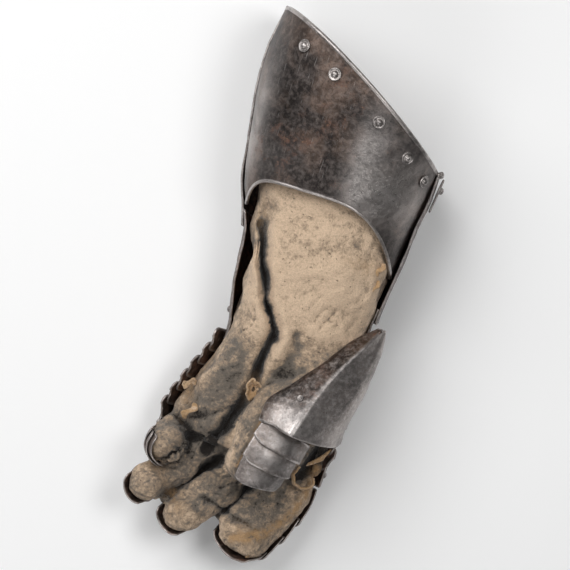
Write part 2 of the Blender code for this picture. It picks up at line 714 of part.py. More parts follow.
def cuff_catch(collection):
    """Leaf with a small lobe, flat on the thumb side of the outer plate, and its rivet."""
    angle = CATCH_ANGLE
    y = float(outer_mouth_y(np.array(angle))) - CATCH_LENGTH / 2 - ROLL_RADIUS
    rest = float(outer_rest(np.array([y]))[0]) + CUFF_WALL / 2 + PLATE_LIFT
    along = np.linspace(0.02, 0.98, 17)
    leaf = np.sin(np.clip(along / CATCH_LEAF, 0, 1) * math.pi) ** 0.8
    lobe = 0.5 * np.sin(np.clip((along - CATCH_LEAF) / (1 - CATCH_LEAF), 0, 1) * math.pi) ** 0.8
    half = CATCH_WIDTH / 2 * np.maximum(np.maximum(leaf, lobe), 0.22)
    place = (0.5 - along) * CATCH_LENGTH
    outline = list(zip(half, place)) + list(zip(-half[::-1], place[::-1]))
    curve = bpy.data.curves.new("cuff_catch", "CURVE")
    curve.dimensions = "2D"
    curve.fill_mode = "BOTH"
    curve.extrude = CATCH_WALL / 2
    spline = curve.splines.new("POLY")
    spline.points.add(len(outline) - 1)
    for target, point in zip(spline.points, outline):
        target.co = (*point, 0.0, 1.0)
    spline.use_cyclic_u = True
    catch = new_object("cuff_catch", curve, collection)
    catch.matrix_world = on_form(y, angle, rest + PLATE_LIFT + CATCH_WALL / 2)
    bpy.context.view_layer.update()
    seat = on_form(y + CATCH_LENGTH * 0.16, angle, rest + 2 * PLATE_LIFT + CATCH_WALL)
    return [meshed(catch, collection), rivet("cuff_catch_rivet", seat, collection, washer=False)]


def side_rivets(collection):
    """Rivet heads on the ends of the wrist plate and of the knuckle plate."""
    pieces = []
    outside = LAME_WALL / 2 + PLATE_LIFT
    middle = -(LAMES_END + KNUCKLE_EDGE) / 2
    places = {
        "wrist_rivet_little": (-LAMES_START * 0.60, 190, LAME_REST),
        "wrist_rivet_thumb": (-LAMES_START * 0.60, 350, LAME_REST),
        "knuckle_rivet_little": (middle, 188, KNUCKLE_REST),
        "knuckle_rivet_thumb": (middle, 352, KNUCKLE_REST),
    }
    for name, (y, angle, rest) in places.items():
        seat = on_form(y, math.radians(angle), rest + outside)
        pieces.append(rivet(name, seat, collection, washer=False))
    return pieces


def ribbon(name, points, across, width, collection):
    """Leather strip along points, as wide as given in the direction across."""
    points = np.array(points)
    across = np.array(across, float)
    across /= np.linalg.norm(across)
    sides = np.linspace(-width / 2, width / 2, 3)
    grid = points[:, None, :] + sides[None, :, None] * across
    return plate(name, grid, STRAP_WALL, collection)


def leather_bits(collection):
    """The torn tab, thongs, strap ends, loops and seam strip that are left on the glove."""
    clear = STRAP_WALL / 2 + GAP
    pieces = []
    seat = on_leather(-0.56 * HAND_LENGTH, math.radians(99), clear)
    ring = bpy.data.curves.new("palm_tab", "CURVE")
    ring.dimensions = "2D"
    ring.fill_mode = "BOTH"
    ring.extrude = STRAP_WALL / 2
    for width, length in ((TAB_WIDTH, TAB_LENGTH), (TAB_HOLE, TAB_HOLE)):
        spline = ring.splines.new("POLY")
        spline.points.add(13)
        for target, turn in zip(spline.points, np.linspace(0, 2 * math.pi, 15)[:-1]):
            target.co = (width / 2 * math.cos(turn), length / 2 * math.sin(turn), 0.0, 1.0)
        spline.use_cyclic_u = True
    tab = new_object("palm_tab", ring, collection)
    tab.matrix_world = seat
    bpy.context.view_layer.update()
    pieces.append(meshed(tab, collection))
    for number, (y, turn, length, lean) in enumerate(
            [(-0.65, 150, 0.009, 0.5), (-0.76, 146, 0.015, -0.9)], 1):
        seat = np.array(on_leather(y * HAND_LENGTH, math.radians(turn), clear))
        t = np.linspace(0, 1, 6)[:, None]
        path = seat[:3, 3] + length * (t * seat[:3, 0] * -lean + 0.45 * np.sin(t * 2.4) * seat[:3, 2])
        pieces.append(ribbon(f"side_thong_{number}", path, seat[:3, 1], THONG_WIDTH, collection))
    for number, y in enumerate((0.028, 0.018), 1):
        seat = np.array(on_leather(y, math.radians(36), clear + GAP))
        t = np.linspace(0, math.pi, 7)[:, None]
        path = seat[:3, 3] + LOOP_REACH * (np.cos(t) * seat[:3, 1] + 0.7 * np.sin(t) * seat[:3, 2])
        pieces.append(ribbon(f"edge_loop_{number}", path, seat[:3, 0], 0.0040, collection))
    rows = finger_rows("index")
    t = np.linspace(0, 1, 8)
    curl = tube_point(rows, 0.30 - 0.10 * t, np.radians(96 - 60 * t), clear + GAP + CURL_RISE * np.sin(t * math.pi))
    pieces.append(ribbon("curled_strap", curl, (0.5, 0.8, 0.3), 0.0050, collection))
    turn = np.radians(14 + 26 * t)
    flap = form_point(-0.79 * HAND_LENGTH - 0.004 * t, turn, clear + 0.003 * np.sin(t * math.pi))
    pieces.append(ribbon("knuckle_strap", flap, (0.0, 1.0, 0.2), 0.0060, collection))
    share, angle = np.meshgrid(np.linspace(0.36, 0.94, 9), np.radians([-6, 4, 14]), indexing="ij")
    points = tube_point(rows, share, angle, clear)
    pieces.append(plate("index_seam_strip", points, STRAP_WALL, collection))
    return pieces


PIECES = {
    "iron": (cuff_inner_plate, cuff_outer_plate, cuff_rivets, cuff_catch, hand_plates, side_rivets,
             finger_scales, thumb_plate, thumb_lames),
    "leather": (glove, leather_bits),
}
MATERIALS = {
    "iron": ((0.115, 0.100, 0.090, 1.0), 0.42, 0.9),
    "leather": ((0.330, 0.240, 0.150, 1.0), 0.85, 0.0),
}


def material(name, piece):
    """Material of its own for a piece, from its kind's colour, roughness and metallic value."""
    colour, roughness, metallic = MATERIALS[name]
    made = bpy.data.materials.new(f"{name}_{piece.name}")
    made.use_nodes = True
    shader = made.node_tree.nodes["Principled BSDF"]
    shader.inputs["Base Color"].default_value = colour
    shader.inputs["Roughness"].default_value = roughness
    shader.inputs["Metallic"].default_value = metallic
    piece.data.materials.clear()
    piece.data.materials.append(made)


def centre_on_floor(pieces):
    """Moves the pieces so that the middle of their box is over the origin and its bottom on the floor."""
    depsgraph = bpy.context.evaluated_depsgraph_get()
    corners = []
    for piece in pieces:
        found = piece.evaluated_get(depsgraph)
        corners += [found.matrix_world @ vertex.co for vertex in found.data.vertices]
    corners = np.array(corners)
    low, high = corners.min(axis=0), corners.max(axis=0)
    shift = Vector(((low[0] + high[0]) / 2, (low[1] + high[1]) / 2, low[2]))
    for piece in pieces:
        piece.matrix_world.translation -= shift


def main():
    for piece in list(bpy.data.objects):
        bpy.data.objects.remove(piece)
    collection = bpy.data.collections.new("armour_gauntlet")
    bpy.context.scene.collection.children.link(collection)
    for kind, makers in PIECES.items():
        for make in makers:
            made = make(collection)
            for piece in made if isinstance(made, list) else [made]:
                material(kind, piece)
    centre_on_floor(list(collection.objects))


main()
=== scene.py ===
"""Armour gauntlet for the left hand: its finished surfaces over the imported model, and a studio stage.

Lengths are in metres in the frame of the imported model: +Z up on the palm side, +Y towards the mouth
of the cuff, +X on the thumb side.  The shape tables start from the wrist line, and every finished
piece is moved by WRIST_LINE to its place.
"""
import math
from collections import namedtuple

import bmesh
import bpy
import numpy as np
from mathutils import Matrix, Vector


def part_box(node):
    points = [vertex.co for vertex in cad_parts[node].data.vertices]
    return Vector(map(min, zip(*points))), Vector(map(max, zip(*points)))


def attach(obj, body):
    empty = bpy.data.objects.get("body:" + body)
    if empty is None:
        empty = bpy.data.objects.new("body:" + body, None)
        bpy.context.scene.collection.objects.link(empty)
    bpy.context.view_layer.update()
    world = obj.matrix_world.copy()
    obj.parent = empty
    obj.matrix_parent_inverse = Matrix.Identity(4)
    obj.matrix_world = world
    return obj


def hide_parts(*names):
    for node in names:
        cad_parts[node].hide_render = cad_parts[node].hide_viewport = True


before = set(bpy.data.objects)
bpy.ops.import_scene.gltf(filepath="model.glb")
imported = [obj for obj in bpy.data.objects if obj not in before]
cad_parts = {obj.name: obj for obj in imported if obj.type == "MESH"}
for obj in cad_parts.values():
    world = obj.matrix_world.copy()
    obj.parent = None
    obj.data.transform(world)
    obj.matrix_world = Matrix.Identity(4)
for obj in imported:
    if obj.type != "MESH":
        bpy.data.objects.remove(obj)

bl_info = {
    "name": "Armour gauntlet",
    "version": (1, 0, 0),
    "blender": (4, 5, 0),
    "location": "3D View > Sidebar > Gauntlet",
    "description": "Builds the worn surfaces of an armour gauntlet with its leather glove",
    "category": "Object",
}

WRIST_LINE = np.array([-0.0012006, -0.0014123, 0.0])

# The outer form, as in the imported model
CUFF_LENGTH = 0.150
HAND_LENGTH = 0.100
FINGER_REACH = 0.064
KNUCKLE_LINE = 0.080
MOUTH_WIDTH = 0.115
MOUTH_DEPTH = 0.099
WRIST_WIDTH = 0.084
WRIST_DEPTH = 0.070
HAND_WIDTH = 0.094
HAND_DEPTH = 0.045
FINGER_WIDTH = 0.022
FINGER_THICKNESS = 0.023
THUMB_WIDTH = 0.038
THUMB_RISE = 0.058
MOUTH_SLANT = math.radians(30)
MOUTH_MIDDLE = 0.1185
MOUTH_BOW = 0.0035
TIP_OVERHANG = 0.0040
ARCH_MIDDLE = 0.0560
ARCH_DROP_THUMB = 0.0300
ARCH_DROP_LITTLE = 0.0150
WRIST_EDGE = 0.0140
WRIST_EDGE_SLANT = 0.0150
SQUARENESS = 2.4
WIDEST_AT = 0.46
FLOOR_STACK = 0.0047
OUTER_REST_WRIST = 0.0032
OUTER_REST_MOUTH = 0.0022
RIM_GAP = 0.0002

# Where plates and rims start and end round the arm, in degrees from the thumb side over the palm side
INNER_PLATE_ARC = (-6, 189)
INNER_RIM_ARC = (-2, 182)
OUTER_PLATE_ARC = (190, 372)
OUTER_RIM_ARC = (198, 372)
WRIST_PLATE_ARC = (168.75, 371.25)
LAME_ARC = (174, 361)
KNUCKLE_ARC = (179, 361)
THUMB_LAME_ARC = (-32, 112)
SEAM_ARC = (-6, 14)

# Lames and scales
LAME_COUNT = 6
LAME_LAP = 0.0044
LAMES_START = 0.0300
LAMES_END = 0.0840
KNUCKLE_EDGE = 0.0985
WRIST_TUCK = 0.0080
LAME_REST = 0.0011
LAME_STEP = 0.0016
LAME_PITCH = (LAMES_END - LAMES_START) / LAME_COUNT
LAME_FLARE = 0.0034
THUMB_LAMES_START = 0.58
THUMB_LAME_PITCH = 0.115
SCALE_COUNT = 4
SCALE_LAP = 0.35
SCALE_SPREAD = 124
SCALE_REST = 0.0009
SCALE_STEP = 0.0012
SCALE_END = 0.97
SCALE_FLARE = 0.00012

# Rivets, as profiles of radii and heights and as places on the form, and the catch
RIVET_WIDTH = 0.0040
RIVET_RISE = 0.0016
RIVET_GAP = 0.0004
RIVET_FROM_MOUTH = 0.011
CUFF_RIVETS_AT = (127, 103, 79, 55, 32)
CUFF_BACK_RIVETS_AT = (205, 238, 302, 335)
SIDE_RIVETS = {
    "wrist_rivet_little": (-0.6 * LAMES_START, 190, LAME_REST + 0.0010),
    "wrist_rivet_thumb": (-0.6 * LAMES_START, 350, LAME_REST + 0.0010),
    "knuckle_rivet_little": (-(LAMES_END + KNUCKLE_EDGE) / 2, 188, FLOOR_STACK + RIVET_GAP),
    "knuckle_rivet_thumb": (-(LAMES_END + KNUCKLE_EDGE) / 2, 352, FLOOR_STACK + RIVET_GAP),
}
WASHER_RIM = [(0.0022, 0.00040), (0.0027, 0.00045), (0.0031, 0.00072), (0.0034, 0.00070),
              (0.0036, 0.00035), (0.0036, 0.0), (0.0, 0.0)]
THUMB_RIVET_AT = (0.28, -0.20)
THUMB_RIVET_RIM = [(0.0010, 0.0003), (0.0013, 0.0009), (0.0017, 0.0007), (0.0017, 0.0), (0.0, 0.0)]
CATCH_AT = 4
CATCH_LENGTH = 0.020
CATCH_WIDTH = 0.010
CATCH_WALL = 0.0010
CATCH_FROM_MOUTH = 0.010
CATCH_LIFT = 0.0015
CATCH_LOBE_FROM = 0.64
CATCH_RIVET_FORWARD = 0.0032
CATCH_RIVET_LIFT = 0.0010

# Meshes: merging distance, how far a plate's edge stands out in walls, width of the dents and of the
# finer ones in them, depth of the finer ones, extra rust inside a plate, and the marks of a vertex with
# what they say where nothing is marked.  On iron they are the millimetres to the nearest edge, wear
# together with painted sheen and highlights, and rust together with painted shade on the thumb plate's
# left face.  On leather they are painted shade in hollows that also makes ridges paler, stains together
# with painted shade in creases and on faces turned down, and how ochre it is.
MM = 1000
MERGE_DISTANCE = 0.000005
EDGE_ROUND = 0.35
DENT_WIDTH = 0.030
FINE_DENT_WIDTH = 0.011
FINE_DENT_SHARE = 0.45
INSIDE_RUST = 0.4
MARKS = {"edge": 99.0, "worn": 0.0, "rusty": 0.0}

Section = namedtuple("Section", "station along shift width lift height")
Reach = namedtuple("Reach", "along side rise width thick")
Arch = namedtuple("Arch", "along little crest thumb little_rise crest_rise thumb_rise")
Leather = namedtuple("Leather", "station along shrink")
Fold = namedtuple("Fold", "path depth width low high")
Patch = namedtuple("Patch", "x y reach_x reach_y amount")
Scales = namedtuple("Scales", "start middle wrap")
Strap = namedtuple("Strap", "across start end stain ochre path")
Noise = namedtuple("Noise", "scale detail roughness distortion")
Kind = namedtuple("Kind", "group bump shine looks")
Light = namedtuple("Light", "name place size power")

STATIONS = {
    "mouth": (MOUTH_WIDTH, MOUTH_DEPTH),
    "wrist": (WRIST_WIDTH, WRIST_DEPTH),
    "hand": (HAND_WIDTH, HAND_DEPTH),
}
FORM = [
    Section("hand", -1.04, -0.016, 0.936, 0.000, 0.900),
    Section("hand", -0.84, -0.016, 0.936, 0.000, 0.960),
    Section("hand", -0.60, 0.026, 0.874, 0.060, 1.150),
    Section("wrist", -0.30, 0.100, 0.874, 0.120, 0.890),
    Section("wrist", 0.00, 0.070, 0.940, 0.150, 1.000),
    Section("wrist", 0.167, 0.069, 0.995, 0.115, 1.100),
    Section("mouth", 0.273, 0.035, 0.783, 0.060, 0.820),
    Section("mouth", 0.360, 0.022, 0.833, 0.040, 0.860),
    Section("mouth", 0.580, 0.010, 0.921, 0.012, 0.940),
    Section("mouth", 0.790, 0.001, 0.963, 0.000, 1.000),
    Section("mouth", 1.040, 0.010, 0.915, 0.000, 1.035),
]
SLEEVE = [
    Leather("hand", -0.92, 0.0020),
    Leather("hand", -0.84, 0.0),
    Leather("wrist", 0.06, 0.0),
    Leather("wrist", 0.167, 0.0019),
    Leather("mouth", 0.360, 0.0080),
    Leather("mouth", 0.520, 0.0100),
]
FINGERS = {
    "index": [
        Reach(0.00, 0.325, 0.50, 1.02, 0.96),
        Reach(0.30, 0.322, 0.45, 1.12, 1.00),
        Reach(0.61, 0.240, 0.49, 1.30, 0.98),
        Reach(0.85, 0.140, 0.62, 1.34, 0.87),
        Reach(0.97, 0.070, 0.78, 0.92, 0.60),
    ],
    "middle": [
        Reach(0.00, 0.095, 0.50, 0.98, 0.98),
        Reach(0.32, 0.005, 0.45, 0.96, 0.95),
        Reach(0.62, -0.112, 0.52, 0.94, 0.90),
        Reach(0.83, -0.228, 0.71, 0.92, 0.83),
        Reach(0.93, -0.290, 0.90, 0.70, 0.60),
    ],
    "ring": [
        Reach(0.00, -0.120, 0.50, 0.90, 0.98),
        Reach(0.27, -0.237, 0.46, 0.86, 0.93),
        Reach(0.53, -0.368, 0.53, 0.84, 0.87),
        Reach(0.70, -0.480, 0.74, 0.84, 0.81),
        Reach(0.76, -0.530, 0.92, 0.64, 0.60),
    ],
    "little": [
        Reach(-0.03, -0.315, 0.52, 0.80, 0.94),
        Reach(0.14, -0.388, 0.52, 0.74, 0.85),
        Reach(0.27, -0.455, 0.70, 0.76, 0.80),
        Reach(0.33, -0.448, 0.94, 0.82, 0.81),
        Reach(0.35, -0.425, 1.12, 0.60, 0.60),
    ],
}
FINGER_SCALES = {
    "index": Scales(0.27, 284, 22),
    "middle": Scales(0.27, 268, 0),
    "ring": Scales(0.38, 256, 0),
    "little": Scales(0.52, 232, 0),
}
THUMB = [
    Reach(-0.20, 0.352, 0.80, 0.52, 0.62),
    Reach(-0.45, 0.335, 0.90, 0.86, 0.86),
    Reach(-0.66, 0.160, 1.00, 1.04, 0.80),
    Reach(-0.85, 0.098, 1.00, 0.94, 0.76),
    Reach(-1.00, 0.073, 0.98, 0.80, 0.62),
    Reach(-1.07, 0.070, 0.96, 0.50, 0.40),
]
THUMB_PLATE = [
    Arch(-0.03, 0.532, 0.553, 0.574, 0.93, 0.97, 0.95),
    Arch(-0.15, 0.404, 0.479, 0.588, 1.00, 1.12, 0.93),
    Arch(-0.30, 0.287, 0.383, 0.578, 1.11, 1.24, 0.90),
    Arch(-0.45, 0.165, 0.309, 0.559, 1.16, 1.31, 0.85),
    Arch(-0.60, 0.034, 0.255, 0.530, 1.23, 1.37, 0.79),
    Arch(-0.70, 0.030, 0.229, 0.516, 1.27, 1.39, 0.74),
]
THUMB_PLATE_DIP = 0.075
CREST_SHARPNESS = 0.0016

# Folds of the leather, seen from above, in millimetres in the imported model's frame.  Depth is up for a
# ridge and down for a valley, and low and high bound the heights of the leather that a fold moves.
FOLDS = [
    Fold([(-40, 34), (-32.5, 18), (-24, 0), (-14.6, -17)], 4.6, 3.8, 36, 90),
    Fold([(-30, 30), (-21.8, 8), (-11, -14), (-4, -26)], -13.0, 3.0, 26, 95),
    Fold([(-34, 46), (-28, 24)], -3.6, 5.0, 40, 95),
    Fold([(-24, 34), (-15, -3), (1, -24), (-2.5, -49)], 2.8, 3.8, 40, 95),
    Fold([(-5, -22), (-6.5, -35), (-8, -45), (-7, -56)], -10.0, 2.8, 26, 90),
    Fold([(10.7, -22), (8, -33), (7, -44)], -2.6, 6.0, 40, 90),
    Fold([(4.8, -19.8), (7.5, -23)], -2.2, 1.7, 40, 90),
    Fold([(36, 31), (39, 15), (40, -2)], 1.6, 3.0, 40, 90),
    Fold([(-19, -27), (-24.5, -41), (-30, -58), (-34, -71)], 3.6, 9.0, 25, 70),
    Fold([(-25, -24), (-29, -42), (-35, -60), (-40, -73)], 1.4, 2.4, 25, 70),
    Fold([(-9, -60), (-12, -70), (-16, -84), (-21, -98)], -10.0, 3.0, 20, 56),
    Fold([(47, -66), (44, -76), (37, -87), (30, -100)], -11.0, 4.5, 14, 60),
    Fold([(-43, -85), (-31, -82.5), (-20, -73)], -1.8, 2.2, 20, 60),
    Fold([(-48, -93), (-43, -87.6), (-34, -90), (-28.6, -104)], -2.4, 1.8, 20, 60),
    Fold([(-38, -76), (-26, -74), (-16, -66)], 1.4, 4.0, 20, 60),
    Fold([(-14, -128.5), (0, -133), (14, -135.5)], 2.0, 2.0, 18, 60),
    Fold([(-15, -124), (0, -128.5), (15, -130.5)], -3.4, 1.7, 12, 60),
    Fold([(26, -104), (27.5, -121)], -1.6, 2.6, 20, 60),
    Fold([(18, -112), (8, -119), (2, -128)], -0.9, 3.4, 20, 60),
    Fold([(-8, -74), (-7.8, -84), (-8, -96), (-4, -106)], 1.2, 2.2, 50, 90),
    Fold([(2, -70), (1, -86), (-1.5, -98)], -1.5, 2.0, 50, 90),
    Fold([(-30, -118), (-22, -122), (-14, -119)], -1.0, 2.6, 15, 60),
    Fold([(-20, -128), (-14, -132), (-8, -131)], -1.2, 2.4, 15, 60),
]
KNOB = (-38.3, -106.2)
SQUEEZE = 0.0052

# Where the leather is stained dark or stays pale, where the cuff has rust, and where the cuff has painted
# sheen: bright bands that stand for highlights
STAINS = [
    Patch(-20, -50, 16, 26, 0.75),
    Patch(-32, -84, 18, 22, 0.55),
    Patch(8, -42, 14, 12, 0.45),
    Patch(-10, -112, 50, 30, 0.62),
    Patch(4, -90, 9, 24, 0.25),
    Patch(-31, 22, 5, 13, 0.75),
    Patch(12, 34, 26, 7, 0.30),
    Patch(-26, 40, 14, 8, 0.35),
    Patch(24, 10, 9, 12, 0.15),
    Patch(18, -128, 12, 16, 0.25),
    Patch(0, -24, 4, 14, -0.75),
    Patch(14, 4, 17, 20, -0.25),
    Patch(-36, -46, 5, 18, -0.85),
    Patch(-8, -92, 3, 16, -0.85),
    Patch(-4, -137, 11, 4, -0.70),
    Patch(-45, -97, 5, 8, -0.25),
]
OCHRES = [
    Patch(-7, -57, 6, 7, 0.8),
    Patch(16, -136, 10, 5, 0.8),
    Patch(-40, -70, 4, 12, 0.8),
    Patch(-47, -113, 7, 4, 0.8),
    Patch(-28, -132, 6, 8, 0.6),
    Patch(-31, 36, 6, 8, 0.5),
    Patch(30, 26, 10, 5, 0.5),
    Patch(2, -84, 3, 10, 0.5),
]
# The two straps beside the index finger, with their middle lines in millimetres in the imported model's
# frame, and the widths of the narrow strips
STRAPS = {
    "curled_strap": Strap((0.25, 0.35, 1.0), 0.0034, 0.0022, 0.0, 0.7, [
        (31.0, -91.5, 38.5), (29.4, -96.5, 39.0), (32.0, -101.2, 38.5), (37.0, -102.0, 37.0),
        (41.5, -98.5, 36.0), (41.0, -95.0, 36.5)]),
    "knuckle_strap": Strap((0.35, 1.0, 0.1), 0.0080, 0.0018, 0.1, 0.6, [
        (43.5, -80.5, 37.0), (41.5, -82.5, 38.0), (38.5, -85.5, 38.0), (35.0, -88.5, 36.5)]),
}
RIBBON_WIDTHS = {"side_thong_1": 0.0042, "side_thong_2": 0.0036, "edge_loop_1": 0.0030, "edge_loop_2": 0.0030}
SEAM_REACH = (0.94, 0.36)
SEAM_GAP = 0.0004
OCHRE_LINES = [
    Fold([(41, -90), (40, -105), (34, -121), (23, -134), (8, -141)], 0.95, 2.6, 0, 60),
    Fold([(-35, -46), (-40, -60), (-44, -74)], 0.55, 2.4, 0, 60),
    Fold([(3, -72), (2, -86), (-2, -99)], 0.75, 1.3, 30, 90),
    Fold([(-48, -112), (-38, -122), (-30, -130)], 0.25, 2.6, 0, 60),
]
CUFF_RUST = [
    Patch(-18, 86, 20, 24, 0.70),
    Patch(-36, 72, 12, 12, 0.60),
    Patch(-2, 108, 16, 12, 0.40),
    Patch(-6, 124, 16, 6, 0.50),
]
# Painted sheen on the inner plate: bands made bright where highlights fall, down its right half and along its
# left edge.
CUFF_PAINTED_SHEEN = [
    Patch(13, 84, 8, 22, 0.95),
    Patch(20, 62, 12, 13, 0.95),
    Patch(36, 72, 14, 26, 0.75),
    Patch(-50, 84, 6, 40, 0.60),
    Patch(-38, 66, 14, 12, 0.25),
]

# Finishes: clouds, fine grain, specks, rust bloom, grime and flecks of the iron, its scratches, and
# clouds, mottle, grain, nap and specks of the leather
IRON_NOISES = [
    Noise(38.0, 5.0, 0.62, 0.4),
    Noise(420.0, 4.0, 0.65, 0.0),
    Noise(1300.0, 3.0, 0.6, 0.0),
    Noise(95.0, 6.0, 0.80, 0.3),
    Noise(210.0, 5.0, 0.75, 0.5),
    Noise(900.0, 2.0, 0.5, 0.0),
]
SCRATCH_NOISE = [Noise(1500.0, 2.0, 0.5, 0.0)]
LEATHER_NOISES = [
    Noise(55.0, 6.0, 0.66, 0.5),
    Noise(240.0, 5.0, 0.68, 0.3),
    Noise(620.0, 5.0, 0.75, 0.4),
    Noise(1500.0, 3.0, 0.7, 0.0),
    Noise(700.0, 2.0, 0.5, 0.0),
]
PORE_SCALE = 900.0
RUST_FLECK = (0.42, 0.24, 0.12, 1.0)
# Near black for sooty specks on the leather, and painted shadow in its deepest creases.
SOOT_AND_SHADE = (0.10, 0.09, 0.085, 1.0)
LOOK_KINDS = {
    "iron": Kind("old iron", 0.00009, {"Specular IOR Level": 0.5}, {
        "cuff iron": {"Brownness": 0.45, "Rustiness": 0.25, "Wear": 0.12},
        "hand iron": {"Brownness": 0.95, "Rustiness": 0.45, "Wear": 0.05},
        "scale iron": {"Brownness": 0.85, "Rustiness": 0.35, "Wear": 0.08},
        "thumb iron": {"Brownness": 0.55, "Rustiness": 0.10, "Wear": 0.38},
        "rivet iron": {"Brownness": 0.30, "Rustiness": 0.10, "Wear": 0.75},
    }),
    "leather": Kind("old suede", 0.00050,
                    {"Sheen Weight": 0.15, "Sheen Roughness": 0.5, "Specular IOR Level": 0.25}, {
        "glove leather": {"Dirt": 0.0, "Rawness": 0.0},
        "strap leather": {"Dirt": 0.10, "Rawness": 0.12},
    }),
}

# Stage: the sky's glow runs from one strength at a low height of the view to another near the zenith
FLOOR_HALF = 4.0
FLOOR_DROP = 0.0004
FLOOR_ROUGHNESS = 0.95
SKY_HEIGHTS = (0.15, 0.95)
SKY_GLOW = (1.45, 0.95)
CAMERA_LENS = 170.7
CAMERA_SENSOR = 36.0
LIGHTS_AIM = (0.0, 0.02, 0.04)
LIGHTS = [
    Light("key light", (-0.60, 0.45, 0.95), 1.00, 11.0),
    Light("right light", (0.40, 0.30, 1.15), 0.45, 4.5),
    Light("near light", (-0.2, -0.9, 0.8), 0.8, 4.0),
]
CAMERA_PLACE = (-0.0078, 0.0028, 1.545)
CAMERA_TURN = math.radians(18)


class GauntletSizes(bpy.types.PropertyGroup):
    """Walls and small sizes of the finished surfaces."""

    def length(name, description, default):
        return bpy.props.FloatProperty(name=name, description=description, default=default,
                                       min=0.0, subtype="DISTANCE", unit="LENGTH", precision=5)

    cuff_wall: length("Cuff wall", "Thickness of the cuff's and the thumb's plates", 0.0014)
    lame_wall: length("Lame wall", "Thickness of the lames over the hand", 0.0012)
    scale_wall: length("Scale wall", "Thickness of the finger scales", 0.0008)
    leather_wall: length("Leather wall", "Thickness of the glove's leather", 0.0022)
    strap_wall: length("Strap wall", "Thickness of the straps and tabs", 0.0012)
    roll_radius: length("Roll radius", "Radius of the rolled rim at the cuff's mouth", 0.0014)
    turn_radius: length("Turn radius", "Radius of the turned edge at the wrist", 0.0010)
    dent_depth: length("Dent depth", "Depth of the shallow dents in the plates", 0.00022)
    wrinkle_depth: length("Wrinkle depth", "Depth of the small wrinkles of the leather", 0.00070)
    plump: length("Finger plumpness", "How far the fingers bulge out on the palm side", 0.0022)
    voxel: length("Leather mesh size", "Side of the leather mesh's faces", 0.00134)


class GauntletColours(bpy.types.PropertyGroup):
    """Colours of the iron, the leather and the floor."""

    def colour(name, description, default):
        return bpy.props.FloatVectorProperty(name=name, description=description, default=default,
                                             min=0.0, max=1.0, size=4, subtype="COLOR")

    iron_dark: colour("Dark iron", "Blackened iron", (0.050, 0.043, 0.041, 1.0))
    iron_brown: colour("Brown iron", "Brown skin of old rust", (0.135, 0.098, 0.080, 1.0))
    # Bright iron is also the colour of the painted sheen on the cuff and of the painted highlights and lit
    # faces of the thumb plates.
    iron_bright_and_sheen: colour("Rubbed iron", "Iron rubbed bright", (0.56, 0.52, 0.50, 1.0))
    rust: colour("Rust", "Orange and russet rust", (0.150, 0.066, 0.040, 1.0))
    leather_pale: colour("Pale leather", "Clean suede", (0.680, 0.510, 0.360, 1.0))
    leather_tan: colour("Tan leather", "Suede darkened by use", (0.420, 0.310, 0.215, 1.0))
    # Stained leather is also the colour of the painted shade in hollows, creases and on faces turned down.
    leather_dark_and_shade: colour("Stained leather", "Suede stained grey-brown", (0.160, 0.136, 0.112, 1.0))
    leather_ochre: colour("Ochre leather", "Raw torn edges of the leather", (0.440, 0.270, 0.130, 1.0))
    floor: colour("Floor", "Pale studio floor", (0.97, 0.97, 0.97, 1.0))


def smooth(places, values, at):
    """Values at places on a curve through the table: cubic pieces whose slopes never overshoot its rows."""
    places = np.asarray(places, float)
    values = np.asarray(values, float)
    at = np.clip(np.atleast_1d(np.asarray(at, float)), places[0], places[-1])
    step = np.diff(places)
    rise = np.diff(values) / step
    slope = np.zeros_like(values)
    slope[0], slope[-1] = rise[0], rise[-1]
    same_way = rise[:-1] * rise[1:] > 0
    total = np.where(same_way, rise[:-1] + rise[1:], 1.0)
    slope[1:-1] = np.where(same_way, 2 * rise[:-1] * rise[1:] / total, 0.0)
    i = np.clip(np.searchsorted(places, at, side="right") - 1, 0, len(step) - 1)
    h = step[i]
    t = (at - places[i]) / h
    return (values[i] * (2 * t**3 - 3 * t**2 + 1) + slope[i] * h * (t**3 - 2 * t**2 + t)
            + values[i + 1] * (3 * t**2 - 2 * t**3) + slope[i + 1] * h * (t**3 - t**2))


def ease(low, high, value):
    """0 below low, 1 above high, and a smooth S between them."""
    t = np.clip((value - low) / (high - low), 0, 1)
    return t * t * (3 - 2 * t)


def bell(value, width, middle=0.0, power=2):
    """1 at the middle, falling off as e to minus a power of the distance from it over the width."""
    return np.exp(-((value - middle) / width) ** power)


def unit(vectors):
    """Vectors divided by their lengths."""
    return vectors / np.maximum(np.linalg.norm(vectors, axis=-1, keepdims=True), 1e-12)


def spread(rows, along, columns, across):
    """Two grids of numbers: one runs from end to end of along over the rows, one of across over the
    columns."""
    return np.meshgrid(np.linspace(*along, rows), np.linspace(*across, columns), indexing="ij")


def circle(count):
    """Angles of a number of points spread round a circle."""
    return np.linspace(0, 2 * math.pi, count + 1)[:-1]


def station_length(along):
    """Y of a station: a share of the cuff's length before the wrist line, of the hand's beyond it."""
    return along * (CUFF_LENGTH if along > 0 else HAND_LENGTH)


FORM_Y = [station_length(row.along) for row in FORM]
FORM_SHIFT = [row.shift * STATIONS[row.station][0] for row in FORM]
FORM_HALF = [row.width * STATIONS[row.station][0] / 2 for row in FORM]
FORM_FLOOR = [row.lift * STATIONS[row.station][1] + FLOOR_STACK for row in FORM]
FORM_TOP = [row.height * STATIONS[row.station][1] for row in FORM]


